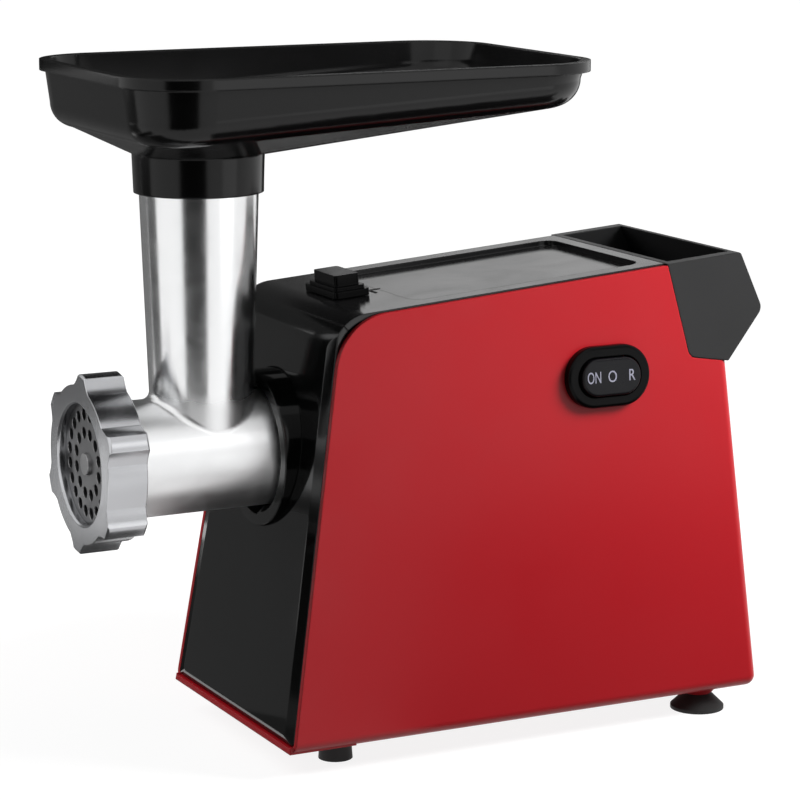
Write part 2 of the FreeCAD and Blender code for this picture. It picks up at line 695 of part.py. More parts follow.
def make_grinder_barrel():
    """Cast head: barrel, flared mouth, feed tube and three bayonet lugs."""
    barrel = rod_x(BARREL_RADIUS, BARREL_FRONT, BARREL_REAR)
    flare_end = MOUTH_FLOOR + FLARE_STEEPNESS * (THREAD_RADIUS - BARREL_RADIUS)
    mouth = rod_x(THREAD_RADIUS, BARREL_FRONT, MOUTH_FLOOR)
    flare = cone_x(THREAD_RADIUS, BARREL_RADIUS, MOUTH_FLOOR, flare_end)
    tube = Part.makeCone(TUBE_FOOT_RADIUS, TUBE_TOP_RADIUS, TUBE_TOP - AXIS_HEIGHT,
                         V(TUBE_X, 0, AXIS_HEIGHT), V(0, 0, 1))
    tee = barrel.fuse(tube).removeSplitter()
    seam = []
    for edge in tee.Edges:
        box = edge.BoundBox
        if box.ZMin > AXIS_HEIGHT + 2 and box.ZMax < AXIS_HEIGHT + BARREL_RADIUS + 3 and box.XLength < 60:
            if box.XMax < TUBE_X + TUBE_TOP_RADIUS + 2 and box.YLength > 5:
                seam.append(edge)
    tee = tee.makeFillet(TUBE_FILLET, seam)
    lugs = []
    for angle in lug_angles():
        lugs.append(sector_x(LUG_RADIUS, BARREL_RADIUS - 1.0, LUG_FRONT, LUG_FRONT + LUG_THICKNESS,
                             angle, angle + LUG_ARC))
    casting = joined([tee, mouth, flare] + lugs)
    throat = Part.makeCone(TUBE_FOOT_RADIUS - TUBE_WALL, TUBE_TOP_RADIUS - TUBE_WALL, TUBE_TOP - AXIS_HEIGHT,
                           V(TUBE_X, 0, AXIS_HEIGHT), V(0, 0, 1))
    cuts = [rod_x(BARREL_BORE, BARREL_FRONT - 1, END_WALL_FRONT), throat,
            rod_x(MOUTH_RADIUS, BARREL_FRONT - 1, MOUTH_FLOOR),
            rod_x(BUSH_OUTER, END_WALL_FRONT - 1, BARREL_REAR + 1),
            key_pin(0.0)]
    return casting.cut(cuts)


def key_pin(gap):
    """Pin in the mouth's lower wall that keeps the plate from turning."""
    length = MOUTH_WALL + KEY_RADIUS
    x = BARREL_FRONT + (PLATE_THICKNESS - PLATE_STANDOUT) / 2
    return Part.makeCylinder(KEY_RADIUS + gap, length + gap,
                             V(x, 0, AXIS_HEIGHT - THREAD_RADIUS), V(0, 0, 1))


def make_cutting_plate():
    """Perforated plate with two rings of holes, a middle hole and a keyway."""
    plate = rod_x(PLATE_RADIUS, PLATE_FRONT, PLATE_REAR)
    cuts = [rod_x(PILOT_RADIUS + 2 * JOURNAL_GAP, PLATE_FRONT - 1, PLATE_REAR + 1)]
    for count, circle in ((INNER_HOLES, INNER_HOLE_CIRCLE), (OUTER_HOLES, OUTER_HOLE_CIRCLE)):
        for index in range(count):
            y, z = turn_point(circle, 90.0 + (index + 0.5) * 360.0 / count)
            cuts.append(rod_x(PLATE_HOLE_RADIUS, PLATE_FRONT - 1, PLATE_REAR + 1, y, AXIS_HEIGHT + z))
    half = KEY_RADIUS + RUN_GAP
    reach = KEY_RADIUS + 2 * RUN_GAP
    cuts.append(block(PLATE_FRONT - 1, PLATE_REAR + 1, -half, half,
                      AXIS_HEIGHT - PLATE_RADIUS - 2, AXIS_HEIGHT - PLATE_RADIUS + reach))
    return plate.cut(cuts)


def make_ring_nut():
    """Ring nut with rounded lobes for the hand."""
    edges = []
    pitch = 360.0 / LOBE_COUNT
    tip = RING_RADIUS + LOBE_HEIGHT
    flank = (LOBE_HALF_ANGLE + LOBE_FOOT_ANGLE) / 2
    hollow = RING_RADIUS + LOBE_HEIGHT * 0.34

    def spot(radius, angle):
        y, z = turn_point(radius, angle)
        return V(RING_FRONT, y, AXIS_HEIGHT + z)

    for index in range(LOBE_COUNT):
        centre = 90.0 + LOBE_TURN + index * pitch
        rise = Part.Arc(spot(RING_RADIUS, centre - LOBE_FOOT_ANGLE), spot(hollow, centre - flank),
                        spot(tip, centre - LOBE_HALF_ANGLE))
        crest = Part.Arc(spot(tip, centre - LOBE_HALF_ANGLE), spot(tip + 0.4, centre),
                         spot(tip, centre + LOBE_HALF_ANGLE))
        fall = Part.Arc(spot(tip, centre + LOBE_HALF_ANGLE), spot(hollow, centre + flank),
                        spot(RING_RADIUS, centre + LOBE_FOOT_ANGLE))
        valley = Part.Arc(spot(RING_RADIUS, centre + LOBE_FOOT_ANGLE), spot(RING_RADIUS, centre + pitch / 2),
                          spot(RING_RADIUS, centre + pitch - LOBE_FOOT_ANGLE))
        edges += [rise.toShape(), crest.toShape(), fall.toShape(), valley.toShape()]
    ring = Part.Face(Part.Wire(edges)).extrude(V(RING_LENGTH, 0, 0))
    taper = joined([cone_x(tip - 0.6, tip + 2.0, RING_FRONT, RING_FRONT + 2.6),
                    rod_x(tip + 2.0, RING_FRONT + 2.6, RING_FRONT + RING_LENGTH - 2.6),
                    cone_x(tip + 2.0, tip - 0.6, RING_FRONT + RING_LENGTH - 2.6, RING_FRONT + RING_LENGTH)])
    ring = ring.common(taper)
    cuts = [rod_x(RING_OPENING_RADIUS, RING_FRONT - 1, PLATE_FRONT + 1),
            cone_x(RING_OPENING_RADIUS + 1.0, RING_OPENING_RADIUS, RING_FRONT, RING_FRONT + 1.0),
            rod_x(RING_BORE, PLATE_FRONT - JOURNAL_GAP, RING_FRONT + RING_LENGTH + 1)]
    return ring.cut(cuts)


def make_auger():
    """Feed screw: core, helical flight, square stud, pilot pin, rear journal and drive tang."""
    start = KNIFE_REAR + FLIGHT_ROOT / 2 + 1.5
    length = AUGER_REAR - AUGER_SHOULDER - 1.0 - FLIGHT_ROOT / 2 - start
    helix = Part.makeHelix(AUGER_PITCH, length, AUGER_CORE_RADIUS)
    root = AUGER_CORE_RADIUS - 1.5
    points = [(root, -FLIGHT_ROOT / 2), (AUGER_RADIUS, -FLIGHT_TIP / 2), (AUGER_RADIUS, FLIGHT_TIP / 2),
              (root, FLIGHT_ROOT / 2)]
    wire = Part.makePolygon([V(a, 0, b) for a, b in points + points[:1]])
    flight = Part.Wire(helix).makePipeShell([wire], True, True)
    flight = moved(flight, V(start, 0, AXIS_HEIGHT), V(0, 1, 0), V(0, 0, 1), V(1, 0, 0))
    half = STUD_WIDTH / 2
    stud = block(KNIFE_FRONT, KNIFE_REAR + 1.0, -half, half, AXIS_HEIGHT - half, AXIS_HEIGHT + half)
    tang_start = BARREL_REAR + 1.0
    half = TANG_WIDTH / 2
    tang = block(BARREL_REAR + RUN_GAP, tang_start + TANG_LENGTH, -half, half, AXIS_HEIGHT - half, AXIS_HEIGHT + half)
    screw = rod_x(AUGER_CORE_RADIUS, KNIFE_REAR, tang_start).fuse(flight.Solids[0])
    shoulder = rod_x(AUGER_CORE_RADIUS + 3.0, AUGER_REAR - AUGER_SHOULDER, AUGER_REAR)
    pilot = rod_x(PILOT_RADIUS, PLATE_FRONT - 1.6, KNIFE_FRONT + 1.0)
    for piece in (shoulder, stud, pilot, tang):
        screw = screw.fuse(piece)
    return screw


def make_cutting_knife():
    """Cross-shaped knife with a square hole."""
    hub = STUD_WIDTH * 0.5 * math.sqrt(2) + 2.2
    reach = MOUTH_RADIUS - 2.4
    arms = [rod_x(hub, KNIFE_FRONT, KNIFE_REAR - 0.5)]
    for index in range(KNIFE_BLADES):
        points = [(0, -3.6), (reach, -5.2), (reach, 1.6), (0, 3.6)]
        blade = prism_x(points, KNIFE_FRONT, KNIFE_FRONT + KNIFE_THICKNESS * 0.55)
        blade.rotate(V(0, 0, 0), V(1, 0, 0), 45.0 + index * 360.0 / KNIFE_BLADES)
        blade.translate(V(0, 0, AXIS_HEIGHT))
        arms.append(blade)
    knife = joined(arms).common(rod_x(reach, KNIFE_FRONT, KNIFE_REAR))
    half = STUD_WIDTH / 2 + 0.1
    return knife.cut(block(KNIFE_FRONT - 1, KNIFE_REAR + 1, -half, half, AXIS_HEIGHT - half, AXIS_HEIGHT + half))


def tray_points(inset):
    """Plan outline of the tray, moved in by an inset."""
    half = TRAY_WIDTH / 2 - inset
    return [(TUBE_X - TRAY_FRONT_REACH + inset, -half), (TUBE_X + TRAY_REAR_REACH - inset, -half),
            (TUBE_X + TRAY_REAR_REACH - inset, half), (TUBE_X - TRAY_FRONT_REACH + inset, half)]


def tray_wire(inset, height, fall=0.0):
    """Outline of the tray at a height, its corners tightened with the inset, falling towards the front."""
    rear = TUBE_X + TRAY_REAR_REACH
    return rounded_wire(tray_points(inset), [TRAY_CORNER_RADIUS - inset] * 4,
                        lambda a, b: V(a, b, height - fall * (rear - a)))


def neck_wire(radius, height):
    """Near-circle at the neck with the same number of sides as the tray outline."""
    points = [(TUBE_X - radius, -radius), (TUBE_X + radius, -radius),
              (TUBE_X + radius, radius), (TUBE_X - radius, radius)]
    return rounded_wire(points, [radius - 0.4] * 4, lambda a, b: V(a, b, height))


def tray_form(inset, rise, neck_radius):
    """Solid of the tray's outside or inside: drafted walls, a rounded edge and a floor sloping to the neck."""
    radius = TRAY_EDGE_RADIUS - inset
    centre_in = TRAY_RIM_STEP + TRAY_DRAFT + TRAY_EDGE_RADIUS
    centre_up = TRAY_RIM_HEIGHT - TRAY_DEPTH + TRAY_EDGE_RADIUS
    fall = (TRAY_FRONT_DEPTH - TRAY_DEPTH) / (TRAY_FRONT_REACH + TRAY_REAR_REACH)
    band = []
    for step in range(EDGE_STEPS + 1):
        turn = math.radians(EDGE_TURN * step / EDGE_STEPS)
        band.append(tray_wire(centre_in - radius * math.cos(turn), centre_up - radius * math.sin(turn), fall))
    walls = Part.makeLoft([tray_wire(TRAY_RIM_STEP + inset, TRAY_RIM_HEIGHT + rise), band[0]], True, True)
    edge = Part.makeLoft(band, True, False)
    funnel = Part.makeLoft([band[-1], neck_wire(neck_radius, NECK_TOP + inset)], True, True)
    return joined([walls, edge, funnel])


def make_hopper_tray():
    """Loading tray: rim band, drafted walls, floor falling to the neck and a collar for the tube."""
    neck_inner = TUBE_TOP_RADIUS + RUN_GAP
    neck_outer = neck_inner + NECK_WALL
    outside = tray_form(0.0, 0.0, neck_outer)
    rim = Part.Face(tray_wire(0.0, TRAY_RIM_HEIGHT - TRAY_RIM_BAND)).extrude(V(0, 0, TRAY_RIM_BAND))
    collar = Part.makeCone(neck_outer - NECK_DRAFT, neck_outer, NECK_TOP - NECK_BOTTOM + 1.0,
                           V(TUBE_X, 0, NECK_BOTTOM), V(0, 0, 1))
    throat = TUBE_TOP_RADIUS - TUBE_WALL
    inside = tray_form(TRAY_WALL, 1.0, throat)
    tray = joined([outside, rim, collar])
    seat = Part.makeCylinder(neck_inner, TUBE_TOP - NECK_BOTTOM + 1.0, V(TUBE_X, 0, NECK_BOTTOM - 1.0))
    hole = Part.makeCylinder(throat, NECK_TOP - NECK_BOTTOM + 10.0, V(TUBE_X, 0, NECK_BOTTOM))
    return tray.cut([inside, seat, hole])


# Socket, lock and switch

def lock_spot():
    """Middle of the lock knob on the top surface."""
    return TOP_CORNER + TOP_ALONG * LOCK_U


FINGER_Z = AXIS_HEIGHT + BARREL_RADIUS + RUN_GAP
LEG_X = lock_spot().x


def make_head_socket():
    """Bayonet socket on the gearbox that the head turns into."""
    half = SOCKET_OUTER + 6.0
    points = [(-half, AXIS_HEIGHT - half), (half, AXIS_HEIGHT - half),
              (half, AXIS_HEIGHT + half), (-half, AXIS_HEIGHT + half)]
    flange = prism_x(points, SOCKET_REAR - SOCKET_FLANGE, SOCKET_REAR, [10.0] * 4)
    socket = joined([rod_x(SOCKET_OUTER, SOCKET_FRONT, SOCKET_REAR), flange])
    cuts = [rod_x(SOCKET_BORE, SOCKET_FRONT - 1, SOCKET_REAR + 1),
            cone_x(SOCKET_BORE + SOCKET_CHAMFER, SOCKET_BORE, SOCKET_FRONT, SOCKET_FRONT + SOCKET_CHAMFER),
            rod_x(GROOVE_RADIUS, SOCKET_FRONT + SOCKET_LIP, SOCKET_REAR + 1)]
    for angle in lug_angles(LUG_TURN):
        cuts.append(sector_x(GROOVE_RADIUS, SOCKET_BORE - 1.0, SOCKET_FRONT - 1, SOCKET_FRONT + SOCKET_LIP + 1,
                             angle - LUG_CLEAR_ARC, angle + LUG_ARC + LUG_CLEAR_ARC))
    slot = LOCK_LEG_WIDTH / 2 + 0.8
    cuts.append(block(LUG_FRONT + LUG_THICKNESS, SOCKET_REAR + 1, -slot, slot,
                      AXIS_HEIGHT, AXIS_HEIGHT + SOCKET_OUTER + 10.0))
    for y, z in socket_bolts():
        cuts.append(rod_x(BOLT_RADIUS, SOCKET_REAR - SOCKET_FLANGE - 1, SOCKET_REAR + 1, y, z))
    return socket.cut(cuts)


def socket_bolts():
    """Places of the four bolts that hold the socket to the gearbox pillars."""
    offset = SOCKET_OUTER
    return [(side * offset, AXIS_HEIGHT + up * offset) for side in (-1, 1) for up in (-1, 1)]


def make_lock_knob():
    """Sliding lock knob: a low base with a taller finger block."""
    base = slab(LOCK_BASE_LENGTH, LOCK_BASE_WIDTH, LOCK_BASE_HEIGHT - RUN_GAP, 2.0, RUN_GAP)
    step = slab(LOCK_GRIP_LENGTH + 3.0, LOCK_GRIP_WIDTH + 5.0, 1.6, 1.6, LOCK_BASE_HEIGHT)
    grip = slab(LOCK_GRIP_LENGTH, LOCK_GRIP_WIDTH, LOCK_GRIP_HEIGHT, 1.6, LOCK_BASE_HEIGHT)
    knob = joined([base, step, grip])
    return moved(knob, lock_spot(), TOP_ALONG, V(0, 1, 0), TOP_OUT)


def make_lock_leg():
    """Leg under the knob with a finger that reaches into the socket between two lugs."""
    half = LOCK_LEG_WIDTH / 2
    thick = LOCK_LEG_THICKNESS
    top = lock_spot().z
    leg = block(LEG_X - thick / 2, LEG_X + thick / 2, -half, half, FINGER_Z, top)
    finger = block(LUG_FRONT + 0.6, LEG_X + thick / 2, -half, half, FINGER_Z, FINGER_Z + LOCK_FINGER_HEIGHT)
    leg = joined([leg, finger])
    trim = slab(FAR, FAR, FAR, 0, RUN_GAP)
    return leg.cut(moved(trim, lock_spot(), TOP_ALONG, V(0, 1, 0), TOP_OUT))


def switch_frame(shape):
    """Set a shape drawn flat into the switch's place on the left side."""
    return moved(shape, SWITCH_SPOT, V(1, 0, 0), LEFT_UP, LEFT_OUT)


def rocker_size():
    """Length and height of the rocker inside the bezel."""
    wall = BEZEL_LEDGE + FIT_GAP + BEZEL_SPIGOT_WALL
    return (BEZEL_LENGTH - 2 * (wall + ROCKER_END_GAP), BEZEL_HEIGHT - 2 * (wall + ROCKER_SIDE_GAP))


def make_switch_bezel():
    """Oval bezel that stands out from the side."""
    outer = oval(BEZEL_LENGTH, BEZEL_HEIGHT, 0.0, BEZEL_PROUD)
    top = [edge for edge in outer.Edges if abs(edge.BoundBox.ZMin - BEZEL_PROUD) < 0.01]
    outer = outer.makeFillet(1.6, top)
    ledge = 2 * (BEZEL_LEDGE + FIT_GAP)
    spigot = oval(BEZEL_LENGTH - ledge, BEZEL_HEIGHT - ledge, -SHELL_WALL - 2.0, SHELL_WALL + 3.0)
    length, height = rocker_size()
    well = oval(length + 2 * ROCKER_END_GAP, height + 2 * ROCKER_SIDE_GAP, -20.0, 40.0)
    return switch_frame(joined([outer, spigot]).cut(well))


def make_switch_rocker():
    """Rocker that tips about an upright axle, standing out of the bezel."""
    length, height = rocker_size()
    low = -ROCKER_PIVOT_DEPTH
    high = BEZEL_PROUD + ROCKER_PROUD
    rocker = oval(length, height, low, high - low)
    top = [edge for edge in rocker.Edges if abs(edge.BoundBox.ZMin - high) < 0.01]
    rocker = rocker.makeFillet(1.2, top)
    for side in (-1, 1):
        wedge = Part.makeBox(FAR, FAR, 30.0, V(0 if side > 0 else -FAR, -FAR / 2, -30.0))
        wedge.rotate(V(0, 0, 0), V(0, 1, 0), -side * ROCKER_RELIEF)
        wedge.translate(V(side * 3.0, 0, low))
        rocker = rocker.cut(wedge)
    return switch_frame(rocker)


def make_switch_body():
    """Switch block behind the bezel, with three blades."""
    length, width = rocker_size()
    length -= 4.0
    width -= 3.0
    top = -SHELL_WALL - 2.0 - ROCKER_PIVOT_DEPTH - 2.5
    body = slab(length, width, SWITCH_BODY_DEPTH, 1.0, top - SWITCH_BODY_DEPTH)
    blades = []
    for place in (-1, 0, 1):
        blade = slab(0.8, 6.0, 9.0, 0, top - SWITCH_BODY_DEPTH - 8.0)
        blade.translate(V(place * length / 3, 0, 0))
        blades.append(blade)
    cheeks = []
    for side in (-1, 1):
        cheek = slab(length, 1.6, 7.0, 0, top - 0.5)
        cheek.translate(V(0, side * (width / 2 - 0.8), 0))
        cheeks.append(cheek)
    return switch_frame(joined([body] + blades + cheeks))


def make_cord_gland():
    """Grommet where the power cord enters at the rear."""
    spigot = Part.makeCylinder(GLAND_RADIUS - 1.5, GLAND_LENGTH * 0.5, V(0, 0, -GLAND_LENGTH * 0.5))
    collar = Part.makeCone(GLAND_RADIUS, GLAND_RADIUS - 2.5, GLAND_LENGTH * 0.5, V(0, 0, 0))
    gland = joined([spigot, collar]).cut(Part.makeCylinder(GLAND_BORE, 60.0, V(0, 0, -30.0)))
    return moved(gland, V(rear_x(GLAND_HEIGHT), GLAND_Y, GLAND_HEIGHT), V(0, 1, 0), REAR_UP, REAR_OUT)


# Gear train

OUTPUT_CENTRE = OUTPUT_MODULE * (OUTPUT_TEETH + SECOND_PINION_TEETH) / 2
SECOND_CENTRE = SECOND_MODULE * (SECOND_TEETH + FIRST_PINION_TEETH) / 2
FIRST_CENTRE = FIRST_MODULE * (FIRST_TEETH + MOTOR_TEETH) / 2
SECOND_Z = AXIS_HEIGHT - OUTPUT_CENTRE
MOTOR_Z = SECOND_Z - math.sqrt(SECOND_CENTRE ** 2 - FIRST_CENTRE ** 2)
FIRST_Y = FIRST_CENTRE
GEARBOX_FRONT = SOCKET_REAR + GEARBOX_STANDOFF
STAGE_3 = GEARBOX_FRONT + GEARBOX_WALL + STAGE_GAP
STAGE_2 = STAGE_3 + OUTPUT_FACE + STAGE_GAP
STAGE_1 = STAGE_2 + SECOND_FACE + STAGE_GAP
GEARBOX_REAR = STAGE_1 + FIRST_FACE + STAGE_GAP
COVER_REAR = GEARBOX_REAR + COVER_PLATE


def tip_radius(module, teeth, shift):
    """Radius over the tips of a gear."""
    return module * (teeth / 2 + 1 + shift)


def gear_face(module, teeth, shift, phase, x):
    """Flat involute gear outline as a face square to x, one tooth centred on the phase angle."""
    alpha = math.radians(PRESSURE_ANGLE)
    pitch_radius = module * teeth / 2
    base = pitch_radius * math.cos(alpha)
    tip = tip_radius(module, teeth, shift)
    root = pitch_radius - module * (1.25 - shift)
    thickness = (math.pi / 2 + 2 * shift * math.tan(alpha)) / teeth - BACKLASH / (4 * pitch_radius)

    def half_angle(radius):
        slope = math.acos(min(1.0, base / radius))
        return thickness + (math.tan(alpha) - alpha) - (math.tan(slope) - slope)

    def spot(radius, angle):
        return V(x, radius * math.cos(angle), radius * math.sin(angle))

    start = max(base, root)
    middle = (start + tip) / 2
    pitch = 2 * math.pi / teeth
    edges = []
    for index in range(teeth):
        centre = math.radians(phase) + index * pitch
        low = spot(start, centre - half_angle(start))
        high = spot(tip, centre - half_angle(tip))
        low_other = spot(start, centre + half_angle(start))
        high_other = spot(tip, centre + half_angle(tip))
        foot = spot(root, centre - half_angle(start))
        foot_other = spot(root, centre + half_angle(start))
        if root < base - 1e-6:
            edges.append(Part.LineSegment(foot, low).toShape())
        edges.append(Part.Arc(low, spot(middle, centre - half_angle(middle)), high).toShape())
        edges.append(Part.Arc(high, spot(tip, centre), high_other).toShape())
        edges.append(Part.Arc(high_other, spot(middle, centre + half_angle(middle)), low_other).toShape())
        if root < base - 1e-6:
            edges.append(Part.LineSegment(low_other, foot_other).toShape())
        ahead = spot(root, centre + pitch - half_angle(start))
        edges.append(Part.Arc(foot_other, spot(root, centre + pitch / 2), ahead).toShape())
    return Part.Face(Part.Wire(edges))


def gear(module, teeth, shift, phase, start, width, y, z):
    """Solid involute gear along x about a centre."""
    solid = gear_face(module, teeth, shift, phase, start).extrude(V(width, 0, 0))
    solid.translate(V(0, y, z))
    return solid


def meshing_phase(phase, teeth, other_teeth, direction):
    """Phase of a gear that meshes with one of a known phase, lying in a direction from it."""
    ahead = (direction - phase) * teeth / 360.0
    return direction + 180.0 - (0.5 - ahead) * 360.0 / other_teeth


SECOND_PHASE = 90.0
OUTPUT_PHASE = meshing_phase(SECOND_PHASE, SECOND_PINION_TEETH, OUTPUT_TEETH, 90.0)
TOWARD_FIRST = math.degrees(math.atan2(MOTOR_Z - SECOND_Z, FIRST_Y))
FIRST_PINION_PHASE = meshing_phase(SECOND_PHASE, SECOND_TEETH, FIRST_PINION_TEETH, TOWARD_FIRST)
FIRST_PHASE = 0.0
MOTOR_PHASE = meshing_phase(FIRST_PHASE, FIRST_TEETH, MOTOR_TEETH, 180.0)
PINION_OVERLAP = 1.0


def make_output_gear():
    """Large output gear with a web and a hub."""
    wheel = gear(OUTPUT_MODULE, OUTPUT_TEETH, -OUTPUT_SHIFT, OUTPUT_PHASE, STAGE_3, OUTPUT_FACE, 0, AXIS_HEIGHT)
    rim = OUTPUT_MODULE * OUTPUT_TEETH / 2 - 3.5 * OUTPUT_MODULE
    hub = OUTPUT_SHAFT_RADIUS + 7.0
    web = OUTPUT_FACE * 0.3
    cuts = [rod_x(OUTPUT_SHAFT_RADIUS, STAGE_3 - 1, STAGE_3 + OUTPUT_FACE + 1),
            tube_x(rim, hub, STAGE_3 - 1, STAGE_3 + web),
            tube_x(rim, hub, STAGE_3 + OUTPUT_FACE - web, STAGE_3 + OUTPUT_FACE + 1)]
    return wheel.cut(cuts)


def make_second_gear():
    """Second intermediate gear."""
    wheel = gear(SECOND_MODULE, SECOND_TEETH, -SECOND_SHIFT, SECOND_PHASE, STAGE_2, SECOND_FACE, 0, SECOND_Z)
    return wheel.cut(rod_x(PIN_RADIUS + JOURNAL_GAP, STAGE_2 - 1, STAGE_2 + SECOND_FACE + 1, 0, SECOND_Z))


def make_second_pinion():
    """Steel pinion on the second gear's front face, driving the output gear."""
    pinion = gear(OUTPUT_MODULE, SECOND_PINION_TEETH, OUTPUT_SHIFT, SECOND_PHASE, STAGE_3 - PINION_OVERLAP,
                  STAGE_2 - STAGE_3 + PINION_OVERLAP, 0, SECOND_Z)
    return pinion.cut(rod_x(PIN_RADIUS + JOURNAL_GAP, STAGE_3 - 5, STAGE_2 + 1, 0, SECOND_Z))


def make_first_gear():
    """First intermediate gear, driven by the motor."""
    wheel = gear(FIRST_MODULE, FIRST_TEETH, -FIRST_SHIFT, FIRST_PHASE, STAGE_1, FIRST_FACE, FIRST_Y, MOTOR_Z)
    return wheel.cut(rod_x(PIN_RADIUS + JOURNAL_GAP, STAGE_1 - 1, STAGE_1 + FIRST_FACE + 1, FIRST_Y, MOTOR_Z))


def make_first_pinion():
    """Steel pinion on the first gear's front face, driving the second gear."""
    pinion = gear(SECOND_MODULE, FIRST_PINION_TEETH, SECOND_SHIFT, FIRST_PINION_PHASE, STAGE_2 - PINION_OVERLAP,
                  STAGE_1 - STAGE_2 + PINION_OVERLAP, FIRST_Y, MOTOR_Z)
    return pinion.cut(rod_x(PIN_RADIUS + JOURNAL_GAP, STAGE_2 - 5, STAGE_1 + 1, FIRST_Y, MOTOR_Z))


def make_motor_pinion():
    """Pinion on the motor shaft."""
    pinion = gear(FIRST_MODULE, MOTOR_TEETH, FIRST_SHIFT, MOTOR_PHASE, STAGE_1 - PINION_OVERLAP / 2,
                  FIRST_FACE + PINION_OVERLAP, 0, MOTOR_Z)
    return pinion.cut(rod_x(pinion_seat(), STAGE_1 - 5, GEARBOX_REAR + 1, 0, MOTOR_Z))


def pinion_seat():
    """Radius of the motor shaft inside its pinion."""
    return 0.55 * FIRST_MODULE * MOTOR_TEETH / 2


def gear_wells(extra):
    """Discs round each gear as (y, z, radius), grown by an extra."""
    clear = GEARBOX_CLEAR + extra
    return [(0, AXIS_HEIGHT, tip_radius(OUTPUT_MODULE, OUTPUT_TEETH, -OUTPUT_SHIFT) + clear),
            (0, SECOND_Z, tip_radius(SECOND_MODULE, SECOND_TEETH, -SECOND_SHIFT) + clear),
            (FIRST_Y, MOTOR_Z, tip_radius(FIRST_MODULE, FIRST_TEETH, -FIRST_SHIFT) + clear),
            (0, MOTOR_Z, tip_radius(FIRST_MODULE, MOTOR_TEETH, FIRST_SHIFT) + clear)]


def gear_disc(extra, start, end):
    """Solid that covers all the gears, grown by an extra."""
    return joined([rod_x(radius, start, end, y, z) for y, z, radius in gear_wells(extra)])


def case_bolts():
    """Places of the screws that close the gearbox, on ears round the wells."""
    spots = []
    wells = gear_wells(GEARBOX_WALL + 2.0)
    for index, angle in ((0, 45.0), (0, 135.0), (1, 200.0), (2, -30.0)):
        y, z, radius = wells[index]
        dy, dz = turn_point(radius, angle)
        spots.append((y + dy, z + dz))
    return spots


def chassis_feet():
    """Places of the two gearbox feet on the floor."""
    return [(GEARBOX_FRONT + 8.0, -32.0), (GEARBOX_FRONT + 8.0, 48.0)]


def make_gearbox_case():
    """Gearbox case open at the rear, with a bush boss, pillars for the socket and two feet."""
    ears = [rod_x(5.0, GEARBOX_FRONT, GEARBOX_REAR, y, z) for y, z in case_bolts()]
    pillars = [rod_x(5.5, SOCKET_REAR, GEARBOX_FRONT + GEARBOX_WALL, y, z) for y, z in socket_bolts()]
    boss = rod_x(OUTPUT_SHAFT_RADIUS + 9.0, GEARBOX_FRONT - 4.0, GEARBOX_FRONT + 1.0)
    legs = []
    for x, y in chassis_feet():
        legs.append(block(x - 6, x + 6, y - 6, y + 6, SHELL_WALL, MOTOR_Z))
    body = joined([gear_disc(GEARBOX_WALL, GEARBOX_FRONT, GEARBOX_REAR), boss] + ears + pillars + legs)
    cuts = [gear_disc(0.0, GEARBOX_FRONT + GEARBOX_WALL, GEARBOX_REAR + 1),
            rod_x(OUTPUT_SHAFT_RADIUS + 5.0, GEARBOX_FRONT - 5.0, GEARBOX_FRONT + GEARBOX_WALL + 1),
            rod_x(PIN_RADIUS, GEARBOX_FRONT - 1, GEARBOX_FRONT + GEARBOX_WALL + 1, 0, SECOND_Z),
            rod_x(PIN_RADIUS, GEARBOX_FRONT - 1, GEARBOX_FRONT + GEARBOX_WALL + 1, FIRST_Y, MOTOR_Z)]
    for y, z in case_bolts():
        cuts.append(rod_x(BOLT_RADIUS, GEARBOX_REAR - 14.0, GEARBOX_REAR + 1, y, z))
    for y, z in socket_bolts():
        cuts.append(rod_x(BOLT_RADIUS, SOCKET_REAR - 1, SOCKET_REAR + 12.0, y, z))
    for x, y in chassis_feet():
        cuts.append(Part.makeCylinder(BOLT_RADIUS, 12.0, V(x, y, SHELL_WALL - 1)))
    return body.cut(cuts)


def make_gearbox_cover():
    """Rear cover of the gearbox, which also carries the motor's front bearing."""
    ears = [rod_x(5.0, GEARBOX_REAR, COVER_REAR, y, z) for y, z in case_bolts()]
    boss = rod_x(BEARING_RADIUS + 3.0, COVER_REAR - 1, COVER_REAR + BEARING_WIDTH, 0, MOTOR_Z)
    tail = rod_x(OUTPUT_TAIL_RADIUS + 6.0, COVER_REAR - 1, COVER_REAR + 5.0)
    posts = [rod_x(4.5, COVER_REAR - 1, STATOR_FRONT, y, z) for y, z in motor_bolt_spots()]
    plates = [gear_disc(GEARBOX_WALL, GEARBOX_REAR, COVER_REAR)]
    plates += [rod_x(6.0, GEARBOX_REAR, COVER_REAR, y, z) for y, z in motor_bolt_spots()]
    cover = joined(plates + [boss, tail] + ears + posts)
    cuts = [rod_x(BEARING_RADIUS, COVER_REAR, COVER_REAR + BEARING_WIDTH + 1, 0, MOTOR_Z),
            rod_x(MOTOR_SHAFT_RADIUS + 1.0, GEARBOX_REAR - 1, COVER_REAR + 1, 0, MOTOR_Z),
            rod_x(OUTPUT_TAIL_RADIUS + 3.0, GEARBOX_REAR - 1, COVER_REAR + 6.0),
            rod_x(PIN_RADIUS, GEARBOX_REAR - 1, COVER_REAR + 1, 0, SECOND_Z),
            rod_x(PIN_RADIUS, GEARBOX_REAR - 1, COVER_REAR + 1, FIRST_Y, MOTOR_Z)]
    for y, z in case_bolts():
        cuts.append(rod_x(BOLT_RADIUS, GEARBOX_REAR - 1, COVER_REAR + 1, y, z))
    for y, z in motor_bolt_spots():
        cuts.append(rod_x(BOLT_RADIUS, GEARBOX_REAR - 1, STATOR_FRONT + 1, y, z))
    return cover.cut(cuts)


